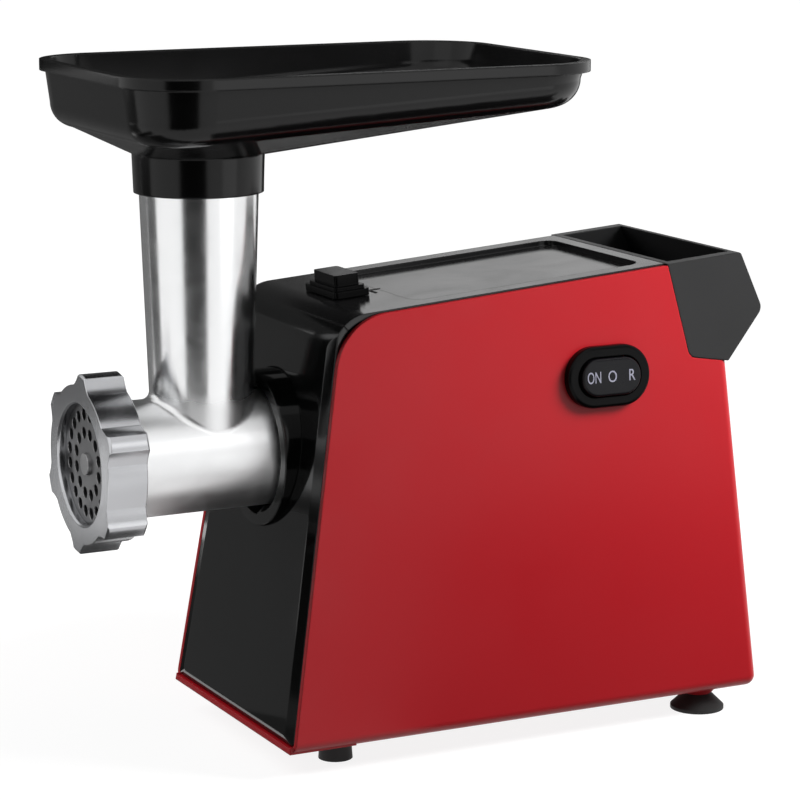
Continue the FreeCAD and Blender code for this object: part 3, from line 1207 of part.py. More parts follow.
def make_gearbox_screws():
    """Screws that close the gearbox."""
    screws = []
    for y, z in case_bolts():
        screws.append(joined([rod_x(BOLT_RADIUS, GEARBOX_REAR - CASE_SCREW_LENGTH, COVER_REAR + 0.5, y, z),
                              rod_x(BOLT_RADIUS + BOLT_HEAD_EDGE, COVER_REAR, COVER_REAR + BOLT_HEAD_RISE, y, z)]))
    return screws


def make_socket_screws():
    """Screws that hold the socket to the gearbox pillars."""
    screws = []
    front = SOCKET_REAR - SOCKET_FLANGE
    for y, z in socket_bolts():
        screws.append(joined([rod_x(BOLT_RADIUS, front - 0.5, SOCKET_REAR + SOCKET_SCREW_LENGTH, y, z),
                              rod_x(BOLT_RADIUS + BOLT_HEAD_EDGE, front - BOLT_HEAD_RISE, front, y, z)]))
    return screws


def make_chassis_screws():
    """Screws from under the shell into the gearbox feet."""
    screws = []
    for x, y in chassis_feet():
        screws.append(Part.makeCylinder(BOLT_RADIUS, CHASSIS_SCREW_LENGTH, V(x, y, SHELL_WALL)))
    return screws


def make_pin(y, z):
    """Fixed steel pin that an intermediate gear turns on."""
    return rod_x(PIN_RADIUS, GEARBOX_FRONT, COVER_REAR, y, z)


def make_output_shaft():
    """Output shaft with a square drive socket at the front."""
    socket_front = BARREL_REAR + 2.5
    shoulder = GEARBOX_FRONT - 6.0
    head = OUTPUT_SHAFT_RADIUS + 5.0
    shaft = joined([rod_x(head, socket_front, shoulder),
                    rod_x(OUTPUT_SHAFT_RADIUS, shoulder - 1, STAGE_3 + OUTPUT_FACE),
                    rod_x(OUTPUT_TAIL_RADIUS, STAGE_3 + OUTPUT_FACE - 1, COVER_REAR + 4.0)])
    half = TANG_WIDTH / 2 + 0.2
    depth = BARREL_REAR + 1.0 + TANG_LENGTH + 0.5
    return shaft.cut(block(socket_front - 1, depth, -half, half, AXIS_HEIGHT - half, AXIS_HEIGHT + half))


# Motor

STATOR_FRONT = COVER_REAR + BEARING_WIDTH + MOTOR_GAP + FAN_WIDTH + MOTOR_GAP + COIL_OVERHANG
STATOR_REAR = STATOR_FRONT + STATOR_LENGTH
FAN_FRONT = COVER_REAR + BEARING_WIDTH + MOTOR_GAP
COMMUTATOR_FRONT = STATOR_REAR + COIL_OVERHANG + MOTOR_GAP
BRACKET_FRONT = COMMUTATOR_FRONT + COMMUTATOR_LENGTH + MOTOR_GAP
BRACKET_REAR = BRACKET_FRONT + BRACKET_THICKNESS
ARMATURE_RADIUS = BORE_RADIUS - AIR_GAP
COIL_OUTER = BORE_RADIUS + 9.0


def motor_bolt_spots():
    """Places of the two long bolts beside the stator."""
    offset = STATOR_RADIUS + 4.0
    return [(-offset * 0.8, MOTOR_Z + offset * 0.6), (offset * 0.8, MOTOR_Z - offset * 0.6)]


def make_motor_stator():
    """Laminated field stack with two poles and bolt ears."""
    stack = joined([rod_x(STATOR_RADIUS, STATOR_FRONT, STATOR_REAR, 0, MOTOR_Z)]
                   + [rod_x(6.0, STATOR_FRONT, STATOR_REAR, y, z) for y, z in motor_bolt_spots()])
    cuts = [rod_x(BORE_RADIUS, STATOR_FRONT - 1, STATOR_REAR + 1, 0, MOTOR_Z)]
    for centre in (90.0, 270.0):
        cuts.append(sector_x(COIL_OUTER + 1.0, BORE_RADIUS - 2.0, STATOR_FRONT - 1, STATOR_REAR + 1,
                             centre - 34.0, centre + 34.0, 0, MOTOR_Z))
    for y, z in motor_bolt_spots():
        cuts.append(rod_x(BOLT_RADIUS, STATOR_FRONT - 1, STATOR_REAR + 1, y, z))
    return stack.cut(cuts)


def make_field_coils():
    """Field windings in the two gaps of the stack, standing out at both ends."""
    coils = []
    for centre in (90.0, 270.0):
        coils.append(sector_x(COIL_OUTER, BORE_RADIUS + 1.0, STATOR_FRONT - COIL_OVERHANG,
                              STATOR_REAR + COIL_OVERHANG, centre - 32.0, centre + 32.0, 0, MOTOR_Z))
    return coils


def make_armature_core():
    """Slotted rotor stack."""
    core = rod_x(ARMATURE_RADIUS, STATOR_FRONT, STATOR_REAR, 0, MOTOR_Z)
    cuts = [rod_x(MOTOR_SHAFT_RADIUS, STATOR_FRONT - 1, STATOR_REAR + 1, 0, MOTOR_Z)]
    for index in range(SLOT_COUNT):
        slot = block(STATOR_FRONT - 1, STATOR_REAR + 1, ARMATURE_RADIUS - SLOT_DEPTH, ARMATURE_RADIUS + 2,
                     -SLOT_WIDTH / 2, SLOT_WIDTH / 2)
        slot.rotate(V(0, 0, 0), V(1, 0, 0), index * 360.0 / SLOT_COUNT)
        slot.translate(V(0, 0, MOTOR_Z))
        cuts.append(slot)
    return core.cut(cuts)


def make_armature_winding():
    """End turns of the rotor winding at both ends of the stack."""
    outer = ARMATURE_RADIUS - 2.5
    rear = tube_x(outer, MOTOR_SHAFT_RADIUS, STATOR_REAR, STATOR_REAR + COIL_OVERHANG, 0, MOTOR_Z)
    front = tube_x(outer, MOTOR_SHAFT_RADIUS, STATOR_FRONT - COIL_OVERHANG, STATOR_FRONT, 0, MOTOR_Z)
    return [front, rear]


def make_commutator():
    """Copper commutator with shallow gaps between its bars."""
    end = COMMUTATOR_FRONT + COMMUTATOR_LENGTH
    ring = tube_x(COMMUTATOR_RADIUS, MOTOR_SHAFT_RADIUS, COMMUTATOR_FRONT, end, 0, MOTOR_Z)
    cuts = []
    for index in range(SLOT_COUNT):
        gap = block(COMMUTATOR_FRONT - 1, end + 1, COMMUTATOR_RADIUS - 0.8, COMMUTATOR_RADIUS + 1, -0.25, 0.25)
        gap.rotate(V(0, 0, 0), V(1, 0, 0), (index + 0.5) * 360.0 / SLOT_COUNT)
        gap.translate(V(0, 0, MOTOR_Z))
        cuts.append(gap)
    return ring.cut(cuts)


def make_motor_shaft():
    """Rotor shaft, stepped down inside the pinion."""
    seat = rod_x(pinion_seat(), STAGE_1 - PINION_OVERLAP / 2, GEARBOX_REAR, 0, MOTOR_Z)
    return joined([seat, rod_x(MOTOR_SHAFT_RADIUS, GEARBOX_REAR - 1.0, BRACKET_REAR + 2.0, 0, MOTOR_Z)])


def make_cooling_fan():
    """Fan with slanted blades between gearbox and stator."""
    hub = MOTOR_SHAFT_RADIUS + 5.0
    pieces = [rod_x(hub, FAN_FRONT, FAN_FRONT + FAN_WIDTH, 0, MOTOR_Z),
              rod_x(FAN_RADIUS, FAN_FRONT, FAN_FRONT + 1.6, 0, MOTOR_Z)]
    for index in range(FAN_BLADES):
        blade = block(FAN_FRONT, FAN_FRONT + FAN_WIDTH, hub - 1.0, FAN_RADIUS - 1.0, -0.9, 0.9)
        blade.rotate(V(0, 0, 0), V(1, 0, 0), index * 360.0 / FAN_BLADES)
        blade.translate(V(0, 0, MOTOR_Z))
        pieces.append(blade)
    fan = joined(pieces)
    return fan.cut(rod_x(MOTOR_SHAFT_RADIUS, FAN_FRONT - 1, FAN_FRONT + FAN_WIDTH + 1, 0, MOTOR_Z))


def make_motor_bracket():
    """End bracket across the motor's rear, carrying the rear bearing."""
    spots = motor_bolt_spots()
    length = math.hypot(spots[0][0] - spots[1][0], spots[0][1] - spots[1][1])
    bar = slab(length + 12.0, 24.0, BRACKET_THICKNESS, 5.9)
    angle = math.atan2(spots[1][1] - spots[0][1], spots[1][0] - spots[0][0])
    along = V(0, math.cos(angle), math.sin(angle))
    across = V(0, -math.sin(angle), math.cos(angle))
    bar = moved(bar, V(BRACKET_FRONT, 0, MOTOR_Z), along, across, V(1, 0, 0))
    posts = [rod_x(5.0, STATOR_REAR, BRACKET_FRONT + 1, y, z) for y, z in spots]
    bracket = joined([bar] + posts)
    cuts = [rod_x(BEARING_RADIUS, BRACKET_FRONT - 1, BRACKET_REAR + 1, 0, MOTOR_Z)]
    for y, z in spots:
        cuts.append(rod_x(BOLT_RADIUS, STATOR_REAR - 1, BRACKET_REAR + 1, y, z))
    return bracket.cut(cuts)


def make_bearing(start, width):
    """Plain motor bearing."""
    return tube_x(BEARING_RADIUS, MOTOR_SHAFT_RADIUS + JOURNAL_GAP, start, start + width, 0, MOTOR_Z)


def brush_side(side, start, height):
    """Frame origin and axes of a brush on one side of the commutator."""
    middle = COMMUTATOR_FRONT + COMMUTATOR_LENGTH / 2
    return V(middle, side * start, MOTOR_Z), V(1, 0, 0), V(0, 0, -side), V(0, side, 0)


def make_brush_holders():
    """Brass brush holders on both sides of the commutator, standing on the end bracket's level."""
    holders = []
    for side in (-1, 1):
        outer = slab(BRUSH_WIDTH + 3.0, BRUSH_WIDTH + 3.0, BRUSH_LENGTH, 0)
        outer = outer.cut(slab(BRUSH_WIDTH, BRUSH_WIDTH, BRUSH_LENGTH - 1.5, 0))
        origin, across, upward, outward = brush_side(side, COMMUTATOR_RADIUS + 2.0, 0)
        holder = moved(outer, origin, across, upward, outward)
        end = side * (COMMUTATOR_RADIUS + 2.0 + BRUSH_LENGTH)
        arm = block(COMMUTATOR_FRONT + COMMUTATOR_LENGTH / 2 - 3.0, BRACKET_FRONT,
                    min(end, end - side * 2.0), max(end, end - side * 2.0), MOTOR_Z - 3.0, MOTOR_Z + 3.0)
        holders.append(joined([holder, arm]))
    return holders


def make_carbon_brushes():
    """Carbon brushes in the holders, just clear of the commutator."""
    brushes = []
    for side in (-1, 1):
        brush = slab(BRUSH_WIDTH - 0.2, BRUSH_WIDTH - 0.2, BRUSH_LENGTH - 0.5, 0)
        origin, across, upward, outward = brush_side(side, COMMUTATOR_RADIUS + 0.2, 0)
        brushes.append(moved(brush, origin, across, upward, outward))
    return brushes


def make_motor_bolts():
    """Two long bolts from the end bracket through the stack into the gearbox cover."""
    bolts = []
    for y, z in motor_bolt_spots():
        bolts.append(joined([rod_x(BOLT_RADIUS, GEARBOX_REAR + 1.0, BRACKET_REAR + 0.5, y, z),
                             rod_x(BOLT_RADIUS + 1.8, BRACKET_REAR, BRACKET_REAR + 2.8, y, z)]))
    return bolts


def make_motor_cradle():
    """Two rubber pads that hold the stator up from the floor of the shell."""
    middle = (STATOR_FRONT + STATOR_REAR) / 2
    front = middle - CRADLE_LENGTH / 2
    rear = middle + CRADLE_LENGTH / 2
    outer = STATOR_RADIUS + CRADLE_PAD
    leg_y, leg_z = turn_point(outer - CRADLE_PAD / 2, CRADLE_START + CRADLE_ARC / 2)
    pads = []
    for side, start in ((1, CRADLE_START), (-1, 540.0 - CRADLE_START - CRADLE_ARC)):
        pad = sector_x(outer, STATOR_RADIUS, front, rear, start, start + CRADLE_ARC, 0, MOTOR_Z)
        edges = sorted((side * leg_y - CRADLE_LEG_WIDTH / 2, side * leg_y + CRADLE_LEG_WIDTH / 2))
        leg = block(front, rear, edges[0], edges[1], SHELL_WALL, MOTOR_Z + leg_z)
        leg = leg.cut(rod_x(STATOR_RADIUS, front - 1, rear + 1, 0, MOTOR_Z))
        pads.append(joined([pad, leg]).common(block(front, rear, -FAR, FAR, SHELL_WALL, FAR)))
    return pads


# All pieces

def make_pieces():
    """Return every piece by node name."""
    pieces = {
        "body_shell": make_body_shell(),
        "front_panel": make_front_panel(),
        "top_cover": make_top_cover(),
        "rear_grip": make_rear_grip(),
        "head_socket": make_head_socket(),
        "foot_screws": make_foot_screws(),
        "switch_bezel": make_switch_bezel(),
        "switch_rocker": make_switch_rocker(),
        "switch_body": make_switch_body(),
        "lock_knob": make_lock_knob(),
        "lock_leg": make_lock_leg(),
        "cord_gland": make_cord_gland(),
        "gearbox_case": make_gearbox_case(),
        "gearbox_cover": make_gearbox_cover(),
        "gearbox_screws": make_gearbox_screws(),
        "socket_screws": make_socket_screws(),
        "chassis_screws": make_chassis_screws(),
        "first_pin": make_pin(FIRST_Y, MOTOR_Z),
        "second_pin": make_pin(0, SECOND_Z),
        "first_gear": make_first_gear(),
        "first_pinion": make_first_pinion(),
        "second_gear": make_second_gear(),
        "second_pinion": make_second_pinion(),
        "output_gear": make_output_gear(),
        "output_shaft": make_output_shaft(),
        "front_bush": tube_x(OUTPUT_SHAFT_RADIUS + 5.0, OUTPUT_SHAFT_RADIUS + JOURNAL_GAP,
                             GEARBOX_FRONT - 4.0, GEARBOX_FRONT + GEARBOX_WALL),
        "rear_bush": tube_x(OUTPUT_TAIL_RADIUS + 3.0, OUTPUT_TAIL_RADIUS + JOURNAL_GAP,
                            GEARBOX_REAR, COVER_REAR + 5.0),
        "motor_stator": make_motor_stator(),
        "field_coils": make_field_coils(),
        "motor_bracket": make_motor_bracket(),
        "front_bearing": make_bearing(COVER_REAR, BEARING_WIDTH),
        "rear_bearing": make_bearing(BRACKET_FRONT, BRACKET_THICKNESS),
        "brush_holders": make_brush_holders(),
        "carbon_brushes": make_carbon_brushes(),
        "motor_bolts": make_motor_bolts(),
        "motor_cradle": make_motor_cradle(),
        "armature_core": make_armature_core(),
        "armature_winding": make_armature_winding(),
        "commutator": make_commutator(),
        "motor_shaft": make_motor_shaft(),
        "cooling_fan": make_cooling_fan(),
        "motor_pinion": make_motor_pinion(),
        "grinder_barrel": make_grinder_barrel(),
        "barrel_bush": tube_x(BUSH_OUTER, AUGER_CORE_RADIUS + JOURNAL_GAP, END_WALL_FRONT, BARREL_REAR),
        "plate_key": key_pin(0.0),
        "auger": make_auger(),
        "auger_washer": tube_x(AUGER_CORE_RADIUS + 6.0, AUGER_CORE_RADIUS + RUN_GAP,
                               AUGER_REAR, END_WALL_FRONT - JOURNAL_GAP),
        "cutting_knife": make_cutting_knife(),
        "cutting_plate": make_cutting_plate(),
        "ring_nut": make_ring_nut(),
        "hopper_tray": make_hopper_tray(),
    }
    for name in foot_spots():
        pieces[name] = make_foot(name)
    return pieces


def as_shape(piece):
    """One solid, or a compound of the solids of a repeated piece."""
    if isinstance(piece, list):
        return Part.Compound([solid for shape in piece for solid in shape.Solids])
    if len(piece.Solids) == 1:
        return piece.Solids[0]
    return Part.Compound(piece.Solids)


def place_all(pieces):
    """Move all pieces so that the origin is under the middle of the part, on the floor."""
    shapes = {name: as_shape(piece) for name, piece in pieces.items()}
    front = shapes["ring_nut"].optimalBoundingBox().XMin
    rear = shapes["rear_grip"].optimalBoundingBox().XMax
    shift = V(-(front + rear) / 2, 0, FOOT_DROP)
    for shape in shapes.values():
        shape.translate(shift)
    print("shift", round(shift.x, 4), round(shift.z, 4))
    return shapes


def main():
    """Build all pieces and write one file per node."""
    os.makedirs("parts", exist_ok=True)
    for name, shape in place_all(make_pieces()).items():
        print(name, "solids", len(shape.Solids), "valid", shape.isValid(), "volume", round(shape.Volume, 1))
        shape.exportStep(os.path.join("parts", name + ".step"))


main()
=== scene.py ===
"""Looks of an electric meat grinder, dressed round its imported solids."""

from __future__ import annotations

import logging
import math
from dataclasses import dataclass
from enum import Enum

import bpy
from mathutils import Matrix, Vector


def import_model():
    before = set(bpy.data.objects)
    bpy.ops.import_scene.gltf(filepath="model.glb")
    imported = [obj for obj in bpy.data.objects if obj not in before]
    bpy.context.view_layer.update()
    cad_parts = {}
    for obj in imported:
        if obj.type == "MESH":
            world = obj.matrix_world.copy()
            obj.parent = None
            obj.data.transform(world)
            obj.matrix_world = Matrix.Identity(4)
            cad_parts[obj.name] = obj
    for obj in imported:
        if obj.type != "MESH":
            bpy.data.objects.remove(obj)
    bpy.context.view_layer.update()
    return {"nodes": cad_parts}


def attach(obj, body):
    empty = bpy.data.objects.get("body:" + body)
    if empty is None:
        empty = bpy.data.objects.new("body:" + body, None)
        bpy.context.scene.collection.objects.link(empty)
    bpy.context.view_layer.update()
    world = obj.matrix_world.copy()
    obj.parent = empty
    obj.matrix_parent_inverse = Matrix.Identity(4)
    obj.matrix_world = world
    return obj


LOG = logging.getLogger("meat_grinder")
AXIS_HEIGHT = 0.140
TUBE_FOOT_HEIGHT = 0.168
LINE_SCALE = 2600.0
WHITE = (1.0, 1.0, 1.0, 1.0)

# Places of the Mix node's sockets, which share their names
MIX_FACTOR = 0
MIX_VALUES = (2, 3)
MIX_VALUE_OUT = 0
MIX_COLOURS = (6, 7)
MIX_COLOUR_OUT = 2

Colour = tuple[float, float, float]
Point = tuple[float, float, float]


class Lathe(Enum):
    """How a metal surface was made, with the input of turned_lines that spreads its lines if turned."""

    ROUND_THE_BARREL = "Along"
    ROUND_THE_TUBE = "Upward"
    ROUND_THE_FACE = "Outward"
    CAST = "cast"


class Shade(Enum):
    """How light a studio card is, as the strength of its even glow."""

    BLACK = 0.02
    CHARCOAL = 0.08
    DARK_GREY = 0.10
    GREY = 0.18
    WHITE = 1.7
    BRIGHT_WHITE = 1.8


class Wiring:
    """Adds and links nodes in one node tree."""

    def __init__(self, tree: bpy.types.NodeTree) -> None:
        """Keep the tree that nodes go into."""
        self.tree = tree

    def add(self, kind: str, values: dict | None = None, **settings: object) -> bpy.types.Node:
        """Add a node.

        Args:
            kind: The node's type name.
            values: Socket values by socket name or index.
            settings: Properties of the node itself.

        Returns:
            The new node.
        """
        node = self.tree.nodes.new(kind)
        for name, value in settings.items():
            setattr(node, name, value)
        for key, value in (values or {}).items():
            node.inputs[key].default_value = value
        return node

    def join(self, source: bpy.types.NodeSocket, target: bpy.types.NodeSocket) -> None:
        """Link an output to an input."""
        self.tree.links.new(source, target)

    def math(self, operation: str, first: object, second: object) -> bpy.types.NodeSocket:
        """Add a math node.

        Args:
            operation: The name of the sum.
            first: A number or an output socket.
            second: A number or an output socket.

        Returns:
            The result's socket.
        """
        node = self.add("ShaderNodeMath", operation=operation)
        for index, value in enumerate((first, second)):
            if isinstance(value, bpy.types.NodeSocket):
                self.join(value, node.inputs[index])
            else:
                node.inputs[index].default_value = value
        return node.outputs[0]

    def spread(self, source: bpy.types.NodeSocket, low: float, high: float) -> bpy.types.NodeSocket:
        """Map a mask from 0 to 1 onto a range.

        Args:
            source: The mask.
            low: Value where the mask is 0.
            high: Value where the mask is 1.

        Returns:
            The mapped value's socket.
        """
        node = self.add("ShaderNodeMapRange", {"To Min": low, "To Max": high})
        self.join(source, node.inputs["Value"])
        return node.outputs["Result"]


class SharedEffects:
    """The node groups that several finishes use, each built once."""

    def __init__(self) -> None:
        """Build all groups."""
        self.grain = self.make_grain()
        self.marks = self.make_marks()
        self.lines = self.make_lines()
        self.edges = self.make_edges()

    @staticmethod
    def start(name: str, takes: dict[str, float],
              gives: dict[str, str]) -> tuple[Wiring, bpy.types.Node, bpy.types.Node]:
        """Start a group.

        Args:
            name: The group's name.
            takes: Input names with their usual values.
            gives: Output names with their socket types.

        Returns:
            The group's wiring, its input node and its output node.
        """
        tree = bpy.data.node_groups.new(name, "ShaderNodeTree")
        for key, value in takes.items():
            socket = tree.interface.new_socket(key, in_out="INPUT", socket_type="NodeSocketFloat")
            socket.default_value = value
        for key, kind in gives.items():
            tree.interface.new_socket(key, in_out="OUTPUT", socket_type=kind)
        wiring = Wiring(tree)
        return wiring, wiring.add("NodeGroupInput"), wiring.add("NodeGroupOutput")

    def make_grain(self) -> bpy.types.NodeTree:
        """Fine moulded or cast grain with a slow change of tone.

        Returns:
            The group, with a height and a tone from 0 to 1.
        """
        wiring, enter, leave = self.start(
            "moulded_grain", {"Scale": 1500.0}, {"Height": "NodeSocketFloat", "Tone": "NodeSocketFloat"})
        place = wiring.add("ShaderNodeTexCoord")
        fine = wiring.add("ShaderNodeTexNoise", {"Detail": 3.0, "Roughness": 0.6})
        slow = wiring.add("ShaderNodeTexNoise", {"Detail": 2.0, "Scale": 14.0})
        wiring.join(place.outputs["Object"], fine.inputs["Vector"])
        wiring.join(place.outputs["Object"], slow.inputs["Vector"])
        wiring.join(enter.outputs["Scale"], fine.inputs["Scale"])
        wiring.join(fine.outputs["Fac"], leave.inputs["Height"])
        wiring.join(slow.outputs["Fac"], leave.inputs["Tone"])
        return wiring.tree

    def make_marks(self) -> bpy.types.NodeTree:
        """Faint patches left by hands and wiping.

        Returns:
            The group, with a mask that is 1 inside the patches.
        """
        wiring, enter, leave = self.start(
            "handling_marks", {"Scale": 40.0}, {"Mask": "NodeSocketFloat"})
        place = wiring.add("ShaderNodeTexCoord")
        cloud = wiring.add("ShaderNodeTexNoise", {"Detail": 4.0, "Roughness": 0.55, "Distortion": 0.6})
        ramp = wiring.add("ShaderNodeMapRange", {"From Min": 0.38, "From Max": 0.68}, clamp=True)
        wiring.join(place.outputs["Object"], cloud.inputs["Vector"])
        wiring.join(enter.outputs["Scale"], cloud.inputs["Scale"])
        wiring.join(cloud.outputs["Fac"], ramp.inputs["Value"])
        wiring.join(ramp.outputs["Result"], leave.inputs["Mask"])
        return wiring.tree

    def make_lines(self) -> bpy.types.NodeTree:
        """Fine machining lines, spread along x, outward from the barrel's axis and along z by three scales.

        Returns:
            The group, with a height from 0 to 1.
        """
        wiring, enter, leave = self.start(
            "turned_lines", {"Along": 0.0, "Outward": 0.0, "Upward": 0.0}, {"Height": "NodeSocketFloat"})
        place = wiring.add("ShaderNodeTexCoord")
        split = wiring.add("ShaderNodeSeparateXYZ")
        wiring.join(place.outputs["Object"], split.inputs[0])
        rise = wiring.math("SUBTRACT", split.outputs["Z"], AXIS_HEIGHT)
        square = wiring.math("ADD", wiring.math("MULTIPLY", split.outputs["Y"], split.outputs["Y"]),
                             wiring.math("MULTIPLY", rise, rise))
        radius = wiring.math("SQRT", square, 0.0)
        gather = wiring.add("ShaderNodeCombineXYZ")
        for source, scale, target in ((split.outputs["X"], "Along", "X"), (radius, "Outward", "Y"),
                                      (split.outputs["Z"], "Upward", "Z")):
            wiring.join(wiring.math("MULTIPLY", source, enter.outputs[scale]), gather.inputs[target])
        noise = wiring.add("ShaderNodeTexNoise", {"Scale": 1.0, "Detail": 3.0, "Roughness": 0.7})
        wiring.join(gather.outputs[0], noise.inputs["Vector"])
        wiring.join(noise.outputs["Fac"], leave.inputs["Height"])
        return wiring.tree

    def make_edges(self) -> bpy.types.NodeTree:
        """Rounded light on sharp edges, with a mask of where the edges are.

        Returns:
            The group, with a normal and a mask that is 1 on the edges.
        """
        wiring, enter, leave = self.start(
            "soft_edges", {"Radius": 0.0006}, {"Normal": "NodeSocketVector", "Mask": "NodeSocketFloat"})
        bevel = wiring.add("ShaderNodeBevel", samples=6)
        flat = wiring.add("ShaderNodeNewGeometry")
        dot = wiring.add("ShaderNodeVectorMath", operation="DOT_PRODUCT")
        wiring.join(enter.outputs["Radius"], bevel.inputs["Radius"])
        wiring.join(bevel.outputs["Normal"], dot.inputs[0])
        wiring.join(flat.outputs["Normal"], dot.inputs[1])
        mask = wiring.add("ShaderNodeMapRange", {"From Min": 0.995, "From Max": 0.86}, clamp=True)
        wiring.join(dot.outputs["Value"], mask.inputs["Value"])
        wiring.join(bevel.outputs["Normal"], leave.inputs["Normal"])
        wiring.join(mask.outputs["Result"], leave.inputs["Mask"])
        return wiring.tree


def blank_material(name: str) -> tuple[bpy.types.Material, Wiring]:
    """Make a material with no nodes in it.

    Args:
        name: The material's name.

    Returns:
        The material and the wiring of its nodes.
    """
    material = bpy.data.materials.new(name)
    material.use_nodes = True
    material.node_tree.nodes.clear()
    return material, Wiring(material.node_tree)


class Surface:
    """A material under construction round one Principled shader."""

    def __init__(self, name: str) -> None:
        """Start a material with a shader and an output.

        Args:
            name: The material's name.
        """
        self.material, self.wiring = blank_material(name)
        self.shader = self.wiring.add("ShaderNodeBsdfPrincipled")
        output = self.wiring.add("ShaderNodeOutputMaterial")
        self.wiring.join(self.shader.outputs["BSDF"], output.inputs["Surface"])

    def group(self, tree: bpy.types.NodeTree, **values: float) -> bpy.types.Node:
        """Place a shared effect.

        Args:
            tree: The effect's node group.
            values: Its input values by name.

        Returns:
            The group node.
        """
        node = self.wiring.add("ShaderNodeGroup", node_tree=tree)
        for key, value in values.items():
            node.inputs[key].default_value = value
        return node

    def turned(self, lines: bpy.types.NodeTree, lathe: Lathe) -> bpy.types.Node:
        """Place the machining lines of one lathe direction."""
        return self.group(lines, **{lathe.value: LINE_SCALE})

    def paint(self, mask: bpy.types.NodeSocket, first: Colour, second: Colour) -> None:
        """Blend the base colour between two tones.

        Args:
            mask: Where the second tone shows.
            first: The tone where the mask is 0.
            second: The tone where the mask is 1.
        """
        mix = self.wiring.add("ShaderNodeMix", data_type="RGBA")
        for socket, colour in zip(MIX_COLOURS, (first, second)):
            mix.inputs[socket].default_value = (*colour, 1.0)
        self.wiring.join(mask, mix.inputs[MIX_FACTOR])
        self.wiring.join(mix.outputs[MIX_COLOUR_OUT], self.shader.inputs["Base Color"])

    def roughen(self, mask: bpy.types.NodeSocket, low: float, high: float) -> None:
        """Spread the roughness between two values.

        Args:
            mask: Where the surface is rougher.
            low: Roughness where the mask is 0.
            high: Roughness where the mask is 1.
        """
        self.wiring.join(self.wiring.spread(mask, low, high), self.shader.inputs["Roughness"])

    def relief(self, height: bpy.types.NodeSocket, depth: float, edges: bpy.types.Node | None) -> None:
        """Feed a height and, where given, softened edges to the normal.

        Args:
            height: The height's socket, from 0 to 1.
            depth: How deep the height goes, in metres.
            edges: The soft_edges node, or None.
        """
        bump = self.wiring.add("ShaderNodeBump", {"Strength": 1.0, "Distance": depth})
        self.wiring.join(height, bump.inputs["Height"])
        if edges is not None:
            self.wiring.join(edges.outputs["Normal"], bump.inputs["Normal"])
        self.wiring.join(bump.outputs["Normal"], self.shader.inputs["Normal"])


def lighter(colour: Colour, share: float) -> Colour:
    """Return a colour moved toward white by a share."""
    return tuple(value + (1.0 - value) * share for value in colour)


@dataclass(frozen=True)
class PlasticFinish:
    """Moulded plastic or rubber."""

    name: str
    colour: Colour
    roughness: float
    spread: float = 0.06
    grain_scale: float = 1800.0
    grain_depth: float = 0.00002
    tone_share: float = 0.012
    edge_radius: float = 0.0007
    ior: float = 1.46
    marks_scale: float = 26.0

    def make(self, effects: SharedEffects) -> bpy.types.Material:
        """Build the material.

        Args:
            effects: The shared node groups.

        Returns:
            The material.
        """
        surface = Surface(self.name)
        surface.shader.inputs["IOR"].default_value = self.ior
        grain = surface.group(effects.grain, Scale=self.grain_scale)
        marks = surface.group(effects.marks, Scale=self.marks_scale)
        edges = surface.group(effects.edges, Radius=self.edge_radius)
        surface.paint(grain.outputs["Tone"], self.colour, lighter(self.colour, self.tone_share))
        surface.roughen(marks.outputs["Mask"], self.roughness, self.roughness + self.spread)
        surface.relief(grain.outputs["Height"], self.grain_depth, edges)
        return surface.material


@dataclass(frozen=True)
class MetalFinish:
    """Bare metal with machining lines or cast grain."""

    name: str
    colour: Colour
    roughness: float
    lathe: Lathe
    line_depth: float = 0.000004
    spread: float = 0.08
    edge_radius: float = 0.0006
    edge_share: float = 0.25
    marks_scale: float = 45.0
    cast_scale: float = 900.0

    def make(self, effects: SharedEffects) -> bpy.types.Material:
        """Build the material.

        Args:
            effects: The shared node groups.

        Returns:
            The material.
        """
        surface = Surface(self.name)
        surface.shader.inputs["Metallic"].default_value = 1.0
        marks = surface.group(effects.marks, Scale=self.marks_scale)
        edges = surface.group(effects.edges, Radius=self.edge_radius)
        surface.paint(edges.outputs["Mask"], self.colour, lighter(self.colour, self.edge_share))
        surface.roughen(marks.outputs["Mask"], self.roughness, self.roughness + self.spread)
        if self.lathe is Lathe.CAST:
            relief = surface.group(effects.grain, Scale=self.cast_scale)
        else:
            relief = surface.turned(effects.lines, self.lathe)
        surface.relief(relief.outputs["Height"], self.line_depth, edges)
        return surface.material


